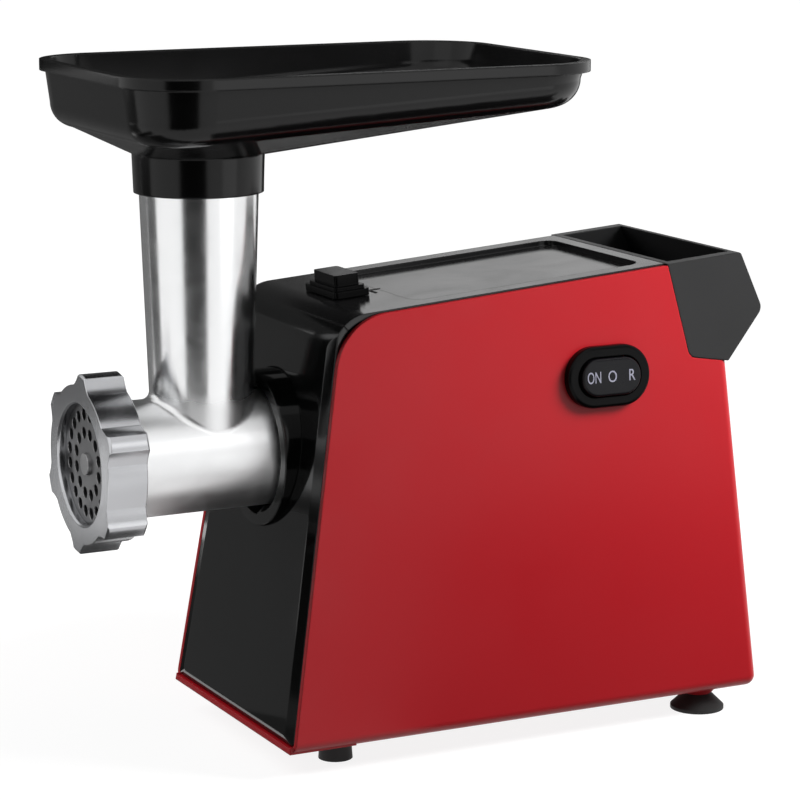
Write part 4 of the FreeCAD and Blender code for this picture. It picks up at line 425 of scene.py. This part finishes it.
@dataclass(frozen=True)
class HeadFinish:
    """Head casting: a polished feed tube over a satin barrel."""

    name: str
    colour: Colour
    tube_roughness: float
    barrel_roughness: float
    line_depth: float = 0.000004
    spread: float = 0.06
    edge_radius: float = 0.0008
    edge_share: float = 0.3
    marks_scale: float = 60.0
    foot_blend: float = 0.004

    def make(self, effects: SharedEffects) -> bpy.types.Material:
        """Build the material.

        Args:
            effects: The shared node groups.

        Returns:
            The material.
        """
        surface = Surface(self.name)
        wiring = surface.wiring
        surface.shader.inputs["Metallic"].default_value = 1.0
        place = wiring.add("ShaderNodeTexCoord")
        split = wiring.add("ShaderNodeSeparateXYZ")
        wiring.join(place.outputs["Object"], split.inputs[0])
        height = wiring.add("ShaderNodeMapRange", {"From Min": TUBE_FOOT_HEIGHT - self.foot_blend,
                                                   "From Max": TUBE_FOOT_HEIGHT + self.foot_blend},
                            clamp=True)
        wiring.join(split.outputs["Z"], height.inputs["Value"])
        upper = height.outputs["Result"]
        edges = surface.group(effects.edges, Radius=self.edge_radius)
        marks = surface.group(effects.marks, Scale=self.marks_scale)
        round_barrel = surface.turned(effects.lines, Lathe.ROUND_THE_BARREL)
        round_tube = surface.turned(effects.lines, Lathe.ROUND_THE_TUBE)
        lines = wiring.add("ShaderNodeMix", data_type="FLOAT")
        wiring.join(upper, lines.inputs[MIX_FACTOR])
        for socket, source in zip(MIX_VALUES, (round_barrel, round_tube)):
            wiring.join(source.outputs["Height"], lines.inputs[socket])
        surface.paint(edges.outputs["Mask"], self.colour, lighter(self.colour, self.edge_share))
        base = wiring.spread(upper, self.barrel_roughness, self.tube_roughness)
        rough = wiring.math("ADD", base, wiring.spread(marks.outputs["Mask"], 0.0, self.spread))
        wiring.join(rough, surface.shader.inputs["Roughness"])
        surface.relief(lines.outputs[MIX_VALUE_OUT], self.line_depth, edges)
        return surface.material


@dataclass(frozen=True)
class StackFinish:
    """Stacked steel sheet with its layers showing, where unit_wave is one band's length at scale 1."""

    name: str
    colour: Colour
    roughness: float = 0.38
    spread: float = 0.12
    metallic: float = 0.8
    layer: float = 0.0006
    layer_share: float = 0.25
    layer_depth: float = 0.0001
    marks_scale: float = 80.0
    unit_wave: float = 0.31

    def make(self, effects: SharedEffects) -> bpy.types.Material:
        """Build the material.

        Args:
            effects: The shared node groups.

        Returns:
            The material.
        """
        surface = Surface(self.name)
        wiring = surface.wiring
        surface.shader.inputs["Metallic"].default_value = self.metallic
        place = wiring.add("ShaderNodeTexCoord")
        bands = wiring.add("ShaderNodeTexWave", {"Scale": self.unit_wave / self.layer,
                                                 "Distortion": 0.0}, bands_direction="X")
        wiring.join(place.outputs["Object"], bands.inputs["Vector"])
        surface.paint(bands.outputs["Fac"], self.colour, lighter(self.colour, self.layer_share))
        marks = surface.group(effects.marks, Scale=self.marks_scale)
        surface.roughen(marks.outputs["Mask"], self.roughness, self.roughness + self.spread)
        surface.relief(bands.outputs["Fac"], self.layer_depth, None)
        return surface.material


SHELL_RED = PlasticFinish(
    "shell_red", (0.420, 0.0065, 0.0125), 0.40,
    grain_scale=2400.0, grain_depth=0.000004, tone_share=0.003, edge_radius=0.0009)
PANEL_BLACK = PlasticFinish(
    "panel_black", (0.0040, 0.0043, 0.0043), 0.07,
    spread=0.03, grain_depth=0.000001, tone_share=0.002, edge_radius=0.0010, ior=1.42)
COVER_BLACK = PlasticFinish(
    "cover_black", (0.0045, 0.0045, 0.0047), 0.15,
    spread=0.04, grain_depth=0.000002, tone_share=0.002, edge_radius=0.0008, ior=1.42)
GRIP_BLACK = PlasticFinish(
    "grip_black", (0.0110, 0.0110, 0.0114), 0.36,
    grain_depth=0.000010, tone_share=0.005, edge_radius=0.0009, ior=1.42)
TRAY_BLACK = PlasticFinish(
    "tray_black", (0.0035, 0.0035, 0.0036), 0.15,
    spread=0.04, grain_depth=0.000002, tone_share=0.002, edge_radius=0.0012, ior=1.34)
BEZEL_BLACK = PlasticFinish(
    "bezel_black", (0.0008, 0.0008, 0.0009), 0.22,
    grain_depth=0.000002, tone_share=0.001, ior=1.18)
SWITCH_BLACK = PlasticFinish(
    "switch_black", (0.0030, 0.0030, 0.0042), 0.26,
    grain_depth=0.000004, tone_share=0.003, ior=1.28)
FOOT_RUBBER = PlasticFinish(
    "foot_rubber", (0.0120, 0.0120, 0.0120), 0.62, grain_scale=1200.0, grain_depth=0.00004)
GEAR_NYLON = PlasticFinish(
    "gear_nylon", (0.78, 0.76, 0.68), 0.42, tone_share=0.2, edge_radius=0.0003)
GEARBOX_PLASTIC = PlasticFinish(
    "gearbox_plastic", (0.045, 0.046, 0.050), 0.5, grain_depth=0.00003)
CARBON = PlasticFinish(
    "carbon", (0.020, 0.020, 0.021), 0.7, grain_depth=0.00003)
LEGEND_GREY = PlasticFinish(
    "legend_grey", (0.34, 0.34, 0.42), 0.5, grain_depth=0.000002, edge_radius=0.0001)
# Painted shadow: matt black for the sheet that stands in for the lock knob's shade on the cover
PAINTED_SHADOW_BLACK = PlasticFinish(
    "painted_shadow_black", (0.0050, 0.0050, 0.0050), 0.45, grain_depth=0.000002, edge_radius=0.0001)
HEAD_ALUMINIUM = HeadFinish(
    "cast_aluminium", (0.84, 0.845, 0.85), tube_roughness=0.18, barrel_roughness=0.34)
RING_ALUMINIUM = MetalFinish(
    "ring_aluminium", (0.47, 0.475, 0.49), 0.20, Lathe.CAST, line_depth=0.000008)
SCREW_ALUMINIUM = MetalFinish(
    "screw_aluminium", (0.40, 0.40, 0.405), 0.34, Lathe.CAST, line_depth=0.000015)
PLATE_STEEL = MetalFinish(
    "plate_steel", (0.23, 0.23, 0.235), 0.34, Lathe.ROUND_THE_FACE, line_depth=0.000006)
BRIGHT_STEEL = MetalFinish(
    "bright_steel", (0.60, 0.60, 0.60), 0.24, Lathe.ROUND_THE_BARREL)
BRONZE = MetalFinish(
    "bronze", (0.60, 0.38, 0.17), 0.38, Lathe.CAST)
COPPER = MetalFinish(
    "copper", (0.66, 0.30, 0.16), 0.32, Lathe.ROUND_THE_BARREL, line_depth=0.00002)
LAMINATION = StackFinish(
    "lamination", (0.22, 0.23, 0.25))

Finish = PlasticFinish | MetalFinish | HeadFinish | StackFinish
Dressing = tuple[tuple[Finish, tuple[str, ...]], ...]


class Paintbox:
    """Makes each finish's material once and hands it out."""

    def __init__(self) -> None:
        """Build the shared effects."""
        self.effects = SharedEffects()
        self.made: dict[str, bpy.types.Material] = {}

    def material(self, finish: Finish) -> bpy.types.Material:
        """Hand out a finish's material, built on first use.

        Args:
            finish: The finish.

        Returns:
            Its material.
        """
        if finish.name not in self.made:
            self.made[finish.name] = finish.make(self.effects)
        return self.made[finish.name]

    def dress(self, piece: bpy.types.Object, finish: Finish) -> None:
        """Give a piece one finish all over."""
        piece.data.materials.clear()
        piece.data.materials.append(self.material(finish))


class Bench:
    """Small modelling moves shared by the new pieces."""

    @staticmethod
    def clear() -> None:
        """Deselect everything."""
        bpy.ops.object.select_all(action="DESELECT")

    @staticmethod
    def pick(piece: bpy.types.Object) -> None:
        """Make one piece the only selected and active one.

        Args:
            piece: The piece.
        """
        Bench.clear()
        piece.select_set(True)
        bpy.context.view_layer.objects.active = piece

    @staticmethod
    def settle(piece: bpy.types.Object, name: str, place: Matrix) -> None:
        """Move a piece into place and put that place into its mesh.

        Args:
            piece: The piece, drawn round its own origin.
            name: Its name in the model.
            place: Where its own frame goes in the part's frame.
        """
        Bench.pick(piece)
        piece.name = name
        piece.data.name = name
        piece.matrix_world = place
        bpy.ops.object.transform_apply(location=True, rotation=True, scale=True)

    @staticmethod
    def words(text: str, size: float, squeeze: float, thickness: float) -> bpy.types.Object:
        """Raised letters lying on the xy plane, as a mesh.

        Args:
            text: What they say.
            size: Height of the font.
            squeeze: Width as a share of the font's own width.
            thickness: How thick the letters are.

        Returns:
            The new mesh object.
        """
        Bench.clear()
        bpy.ops.object.text_add()
        piece = bpy.context.active_object
        piece.data.body = text
        piece.data.size = size
        piece.data.extrude = thickness / 2
        piece.data.align_x = "CENTER"
        piece.data.align_y = "CENTER"
        piece.data.resolution_u = 4
        Bench.pick(piece)
        bpy.ops.object.convert(target="MESH")
        piece = bpy.context.active_object
        piece.scale = (squeeze, 1.0, 1.0)
        bpy.ops.object.transform_apply(location=False, rotation=False, scale=True)
        bpy.ops.object.mode_set(mode="EDIT")
        bpy.ops.mesh.select_all(action="SELECT")
        bpy.ops.mesh.remove_doubles(threshold=0.000002)
        bpy.ops.mesh.normals_make_consistent(inside=False)
        bpy.ops.object.mode_set(mode="OBJECT")
        return piece


def frame_matrix(origin: Vector, across: Vector, upward: Vector, outward: Vector) -> Matrix:
    """Matrix of a local frame in the part's frame.

    Args:
        origin: Where the frame's origin is.
        across: Its x axis.
        upward: Its y axis.
        outward: Its z axis.

    Returns:
        The matrix.
    """
    rows = [[across[i], upward[i], outward[i], origin[i]] for i in range(3)]
    return Matrix(rows + [[0.0, 0.0, 0.0, 1.0]])


@dataclass
class SubAssembly:
    """A group of pieces that belong together: solids with their finishes, and pieces made here."""

    finishes: Dressing = ()

    def dress(self, nodes: dict[str, bpy.types.Object], paints: Paintbox) -> None:
        """Give each solid its finish.

        Args:
            nodes: The part's solids by name.
            paints: The finishes' materials.
        """
        for finish, names in self.finishes:
            for name in names:
                paints.dress(nodes[name], finish)

    def build(self, paints: Paintbox) -> list[bpy.types.Object]:
        """Return no pieces, because most groups are solids alone."""
        return []


@dataclass
class Housing(SubAssembly):
    """Red shell, black front, cover and grip, feet and cord inlet, with the screws and the motor's pads."""

    finishes: Dressing = (
        (SHELL_RED, ("body_shell",)),
        (PANEL_BLACK, ("front_panel", "head_socket")),
        (COVER_BLACK, ("top_cover",)),
        (GRIP_BLACK, ("rear_grip",)),
        (FOOT_RUBBER, ("front_left_foot", "front_right_foot", "rear_left_foot", "rear_right_foot",
                       "cord_gland", "motor_cradle")),
        (BRIGHT_STEEL, ("foot_screws", "socket_screws", "chassis_screws", "gearbox_screws", "motor_bolts")),
    )


@dataclass
class Switch(SubAssembly):
    """Rocker switch in the left side with its three printed words."""

    finishes: Dressing = (
        (BEZEL_BLACK, ("switch_bezel",)),
        (SWITCH_BLACK, ("switch_rocker",)),
        (GEARBOX_PLASTIC, ("switch_body",)),
    )
    body: str = "rocker"
    place: Vector = Vector((0.076582, -0.059181, 0.1707))
    lean: float = math.radians(3.9)
    face: float = 0.0067
    letter_size: float = 0.0078
    letter_thickness: float = 0.00012
    letter_lift: float = 0.2
    words: tuple[tuple[str, str, float, float], ...] = (
        ("legend_on", "ON", -0.0097, 0.62),
        ("legend_off", "O", 0.0, 0.80),
        ("legend_reverse", "R", 0.0104, 0.80),
    )

    def build(self, paints: Paintbox) -> list[bpy.types.Object]:
        """Make the words on the rocker's face.

        Args:
            paints: The finishes' materials.

        Returns:
            The new pieces.
        """
        upward = Vector((0.0, math.sin(self.lean), math.cos(self.lean)))
        outward = Vector((0.0, -math.cos(self.lean), math.sin(self.lean)))
        across = Vector((1.0, 0.0, 0.0))
        height = self.face + self.letter_thickness * self.letter_lift
        made = []
        for name, text, offset, squeeze in self.words:
            piece = Bench.words(text, self.letter_size, squeeze, self.letter_thickness)
            origin = self.place + across * offset + outward * height
            Bench.settle(piece, name, frame_matrix(origin, across, upward, outward))
            paints.dress(piece, LEGEND_GREY)
            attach(piece, self.body)
            made.append(piece)
        return made


@dataclass
class Lock(SubAssembly):
    """Sliding lock on the top with a painted shadow behind it: a thin dark angle-shaped sheet where the
    knob's shade falls.
    """

    finishes: Dressing = (
        (BEZEL_BLACK, ("lock_knob",)),
        (BRIGHT_STEEL, ("lock_leg",)),
    )
    body: str = "housing"
    corner: Vector = Vector((-0.059661, 0.0, 0.2073))
    rise: float = math.radians(4.4)
    shadow_along: float = 0.0395
    shadow_side: float = -0.0095
    shadow_lift: float = 0.0001
    shadow_length: float = 0.0085
    shadow_width: float = 0.0012
    shadow_height: float = 0.0003
    shadow_foot: float = 0.6

    def build(self, paints: Paintbox) -> list[bpy.types.Object]:
        """Make the painted shadow of the knob, a raised dark angle-shaped sheet.

        Args:
            paints: The finishes' materials.

        Returns:
            The new pieces.
        """
        piece = self.shape_painted_shadow()
        along = Vector((math.cos(self.rise), 0.0, math.sin(self.rise)))
        outward = Vector((-math.sin(self.rise), 0.0, math.cos(self.rise)))
        side = Vector((0.0, 1.0, 0.0))
        origin = self.corner + along * self.shadow_along + side * self.shadow_side + outward * self.shadow_lift
        # This sheet is painted shadow, dark where the knob shades the cover
        Bench.settle(piece, "lock_painted_shadow", frame_matrix(origin, along, side, outward))
        paints.dress(piece, PAINTED_SHADOW_BLACK)
        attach(piece, self.body)
        return [piece]

    def shape_painted_shadow(self) -> bpy.types.Object:
        """Shape a bar with a foot at one end, round its own origin.

        Returns:
            The painted shadow's angle-shaped sheet.
        """
        Bench.clear()
        bpy.ops.mesh.primitive_cube_add(size=1.0)
        piece = bpy.context.active_object
        piece.scale = (self.shadow_width, self.shadow_length, self.shadow_height)
        bpy.ops.object.transform_apply(location=False, rotation=False, scale=True)
        bpy.ops.object.mode_set(mode="EDIT")
        bpy.ops.mesh.select_all(action="SELECT")
        cut = self.shadow_length / 2 - self.shadow_width
        bpy.ops.mesh.bisect(plane_co=(0.0, cut, 0.0), plane_no=(0.0, 1.0, 0.0))
        bpy.ops.mesh.select_all(action="DESELECT")
        bpy.ops.object.mode_set(mode="OBJECT")
        for face in piece.data.polygons:
            face.select = round(face.normal.x) == 1 and face.center.y > cut
        bpy.ops.object.mode_set(mode="EDIT")
        bpy.ops.mesh.select_mode(type="FACE")
        reach = self.shadow_length * self.shadow_foot
        bpy.ops.mesh.extrude_region_move(TRANSFORM_OT_translate={"value": (reach, 0.0, 0.0)})
        bpy.ops.mesh.select_all(action="SELECT")
        bpy.ops.mesh.normals_make_consistent(inside=False)
        bpy.ops.object.mode_set(mode="OBJECT")
        return piece


@dataclass
class GrindingHead(SubAssembly):
    """Cast head with feed screw, knife, plate, ring nut and tray."""

    finishes: Dressing = (
        (HEAD_ALUMINIUM, ("grinder_barrel",)),
        (RING_ALUMINIUM, ("ring_nut",)),
        (SCREW_ALUMINIUM, ("auger",)),
        (PLATE_STEEL, ("cutting_plate", "cutting_knife")),
        (BRIGHT_STEEL, ("plate_key",)),
        (BRONZE, ("barrel_bush",)),
        (GEAR_NYLON, ("auger_washer",)),
        (TRAY_BLACK, ("hopper_tray",)),
    )


@dataclass
class DriveTrain(SubAssembly):
    """Gearbox and motor inside the shell."""

    finishes: Dressing = (
        (GEARBOX_PLASTIC, ("gearbox_case", "gearbox_cover", "motor_bracket")),
        (BRIGHT_STEEL, ("first_pin", "second_pin", "first_pinion", "second_pinion", "output_gear",
                        "output_shaft", "motor_shaft", "motor_pinion")),
        (GEAR_NYLON, ("first_gear", "second_gear", "cooling_fan")),
        (BRONZE, ("front_bush", "rear_bush", "front_bearing", "rear_bearing", "brush_holders")),
        (COPPER, ("field_coils", "armature_winding", "commutator")),
        (LAMINATION, ("motor_stator", "armature_core")),
        (CARBON, ("carbon_brushes",)),
    )


def point_at(piece: bpy.types.Object, place: Vector, aim: Vector) -> None:
    """Put a lamp or a camera in its place and point it.

    Args:
        piece: The lamp or the camera.
        place: Where it stands.
        aim: Where it points.
    """
    piece.location = place
    piece.rotation_mode = "QUATERNION"
    piece.rotation_quaternion = (aim - place).to_track_quat("-Z", "Y")


@dataclass
class SoftBox:
    """A square studio lamp."""

    name: str
    place: Point
    aim: Point
    size: float
    power: float
    mirrored: bool = True

    def build(self) -> None:
        """Add the lamp to the scene, seen in gloss and metal only where it is mirrored."""
        lamp = bpy.data.lights.new(self.name, "AREA")
        lamp.shape = "SQUARE"
        lamp.size = self.size
        lamp.energy = self.power
        piece = bpy.data.objects.new(self.name, lamp)
        point_at(piece, Vector(self.place), Vector(self.aim))
        piece.visible_glossy = self.mirrored
        bpy.context.scene.collection.objects.link(piece)


@dataclass
class Flag:
    """A plain studio card that only shows in reflections, in its own shade."""

    name: str
    place: Point
    aim: Point
    width: float
    height: float
    shade: Shade = Shade.BLACK

    def build(self) -> None:
        """Add the card to the stage."""
        Bench.clear()
        bpy.ops.mesh.primitive_plane_add(size=1.0)
        piece = bpy.context.active_object
        piece.scale = (self.width, self.height, 1.0)
        bpy.ops.object.transform_apply(location=False, rotation=False, scale=True)
        place = Vector(self.place)
        turn = (Vector(self.aim) - place).to_track_quat("Z", "Y").to_matrix().to_4x4()
        Bench.settle(piece, self.name, Matrix.Translation(place) @ turn)
        piece.data.materials.append(self.make_material())
        piece.visible_camera = False
        piece.visible_diffuse = False
        piece.visible_shadow = False
        piece.visible_transmission = False

    def make_material(self) -> bpy.types.Material:
        """Make the card's even grey or white.

        Returns:
            The material.
        """
        material, wiring = blank_material(self.name)
        even = wiring.add("ShaderNodeEmission", {"Color": WHITE, "Strength": self.shade.value})
        output = wiring.add("ShaderNodeOutputMaterial")
        wiring.join(even.outputs[0], output.inputs["Surface"])
        return material


@dataclass
class Studio:
    """White floor, soft lamps, cards for the reflections and the camera."""

    camera_place: Vector = Vector((-0.62408, -1.24241, 0.43070))
    camera_aim: Vector = Vector((-0.00112, 0.0, 0.1555))
    lens: float = 134.39
    sensor: float = 36.0
    farthest: float = 50.0
    middle: Point = (0.03, 0.0, 0.16)
    room_light: float = 0.07
    floor_size: float = 12.0
    floor_drop: float = 0.0002
    floor_grey: Colour = (0.20, 0.20, 0.20)
    floor_light: float = 0.05
    near_white: float = 0.87
    near_reach: float = 0.24
    far_reach: float = 0.432

    def build(self) -> None:
        """Set up everything round the object."""
        self.build_world()
        self.build_floor()
        self.build_lamps()
        self.build_flags()
        self.build_camera()

    @staticmethod
    def seen_directly(wiring: Wiring) -> bpy.types.NodeSocket:
        """Tell what is looked at from what only lights.

        Args:
            wiring: The nodes of the floor or the world.

        Returns:
            A mask that is 1 for camera, mirror and glass rays.
        """
        path = wiring.add("ShaderNodeLightPath")
        first = wiring.math("MAXIMUM", path.outputs["Is Camera Ray"], path.outputs["Is Glossy Ray"])
        return wiring.math("MAXIMUM", first, path.outputs["Is Transmission Ray"])

    def build_world(self) -> None:
        """White surroundings to look at, softer as a lamp."""
        world = bpy.data.worlds.new("white_room")
        bpy.context.scene.world = world
        world.use_nodes = True
        world.node_tree.nodes.clear()
        wiring = Wiring(world.node_tree)
        back = wiring.add("ShaderNodeBackground", {"Color": WHITE})
        wiring.join(wiring.spread(self.seen_directly(wiring), self.room_light, 1.0), back.inputs["Strength"])
        output = wiring.add("ShaderNodeOutputWorld")
        wiring.join(back.outputs[0], output.inputs["Surface"])

    def build_floor(self) -> None:
        """Pale floor that keeps a faint shadow."""
        Bench.clear()
        bpy.ops.mesh.primitive_plane_add(size=self.floor_size, location=(0.0, 0.0, -self.floor_drop))
        floor = bpy.context.active_object
        bpy.ops.object.transform_apply(location=True, rotation=False, scale=False)
        floor.name = "floor"
        floor.data.materials.append(self.make_floor_white())

    def make_floor_white(self) -> bpy.types.Material:
        """White to look at, a little greyer round the object, and dim as a lamp.

        Returns:
            The material.
        """
        material, wiring = blank_material("floor_white")
        matt = wiring.add("ShaderNodeBsdfDiffuse", {"Color": (*self.floor_grey, 1.0)})
        glow = wiring.add("ShaderNodeEmission", {"Color": WHITE})
        place = wiring.add("ShaderNodeTexCoord")
        reach = wiring.add("ShaderNodeVectorMath", operation="LENGTH")
        wiring.join(place.outputs["Object"], reach.inputs[0])
        fade = wiring.add("ShaderNodeMapRange", {"From Min": self.near_reach, "From Max": self.far_reach,
                                                 "To Min": self.near_white, "To Max": 1.0}, clamp=True)
        wiring.join(reach.outputs["Value"], fade.inputs["Value"])
        shown = wiring.math("MULTIPLY", fade.outputs["Result"], self.seen_directly(wiring))
        wiring.join(wiring.math("MAXIMUM", shown, self.floor_light), glow.inputs["Strength"])
        both = wiring.add("ShaderNodeAddShader")
        output = wiring.add("ShaderNodeOutputMaterial")
        wiring.join(matt.outputs[0], both.inputs[0])
        wiring.join(glow.outputs[0], both.inputs[1])
        wiring.join(both.outputs[0], output.inputs["Surface"])
        return material

    def build_lamps(self) -> None:
        """Soft lamps from the right, from above, from the left and from behind."""
        for lamp in (
            SoftBox("key_right", (0.46, -0.36, 0.52), (0.12, -0.04, 0.20), 0.26, 6.6, mirrored=False),
            SoftBox("top", (-0.1, -0.3, 1.3), self.middle, 0.8, 1.3),
            SoftBox("left", (-1.1, -0.5, 0.7), self.middle, 0.8, 0.6),
            SoftBox("rear", (-0.6, 1.0, 0.7), self.middle, 0.8, 13.0, mirrored=False),
        ):
            lamp.build()

    def build_flags(self) -> None:
        """Grey and white cards for the mirror-like metal and the gloss pieces."""
        for flag in (
            Flag("card_tube", (-0.39, -0.46, 0.20), (-0.103, 0.0, 0.20), 0.46, 0.40),
            Flag("card_barrel", (0.04, -0.30, 0.31), (-0.11, -0.03, 0.15), 0.26, 0.12, Shade.BRIGHT_WHITE),
            Flag("card_side", (0.40, -0.72, 0.57), (0.04, -0.06, 0.57), 0.72, 0.32),
            Flag("card_glow", (0.42, -0.80, 0.13), (0.08, -0.06, 0.19), 0.46, 0.18, Shade.WHITE),
            Flag("card_low", (0.22, -0.25, 0.052), (0.22, 0.0, 0.052), 0.32, 0.10),
            Flag("card_near_mat", (0.16, -0.165, 0.001), (0.16, -0.165, 1.0), 0.34, 0.17),
            Flag("card_front", (-0.207, 0.40, 0.14), (-0.207, 0.0, 0.14), 0.214, 0.28, Shade.GREY),
            Flag("card_front_near", (-0.15, 0.15, 0.05), (-0.15, 0.0, 0.05), 0.10, 0.10, Shade.GREY),
            Flag("card_front_wing", (-0.372, 0.40, 0.172), (-0.372, 0.0, 0.172), 0.116, 0.215, Shade.GREY),
            Flag("card_far_mat", (-0.26, 0.24, 0.001), (-0.26, 0.24, 1.0), 0.32, 0.32, Shade.GREY),
            Flag("card_bevel", (-0.43, 0.12, 0.05), (-0.08, -0.07, 0.05), 0.28, 0.096),
            Flag("card_bevel_top", (-0.395, 0.205, 0.169), (-0.08, -0.06, 0.169), 0.17, 0.142,
                 Shade.DARK_GREY),
            Flag("card_bevel_mat", (-0.27, 0.0, 0.001), (-0.27, 0.0, 1.0), 0.34, 0.16, Shade.CHARCOAL),
            Flag("card_back", (-0.06, 0.55, 0.36), (-0.06, 0.0, 0.36), 0.52, 0.70, Shade.DARK_GREY),
            Flag("card_rear_mat", (0.22, 0.33, 0.001), (0.22, 0.33, 1.0), 0.64, 0.42),
            Flag("card_low_back", (0.48, 0.55, 0.165), (0.48, 0.0, 0.165), 0.56, 0.32),
            Flag("card_tray", (0.06, 0.20, 0.334), (0.06, 0.0, 0.334), 0.60, 0.068),
            Flag("card_above", (0.15, 0.38, 0.95), (-0.06, -0.02, 0.15), 0.74, 0.80),
        ):
            flag.build()

    def build_camera(self) -> None:
        """Camera at the photograph's place."""
        data = bpy.data.cameras.new("camera")
        data.lens = self.lens
        data.sensor_width = self.sensor
        data.sensor_fit = "HORIZONTAL"
        data.clip_end = self.farthest
        camera = bpy.data.objects.new("camera", data)
        point_at(camera, self.camera_place, self.camera_aim)
        bpy.context.scene.collection.objects.link(camera)
        bpy.context.scene.camera = camera


def main() -> None:
    """Load the frame, build and dress every sub-assembly, and set the stage."""
    logging.basicConfig(level=logging.INFO, format="%(name)s %(message)s")
    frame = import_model()
    nodes = frame["nodes"]
    bpy.context.scene.view_settings.view_transform = "Standard"
    paints = Paintbox()
    parts = (Housing(), Switch(), Lock(), GrindingHead(), DriveTrain())
    for part in parts:
        part.dress(nodes, paints)
        LOG.info("dressed %s", type(part).__name__)
    for part in parts:
        for piece in part.build(paints):
            LOG.info("built %s with %d faces", piece.name, len(piece.data.polygons))
    Studio().build()


if __name__ == "__main__":
    main()
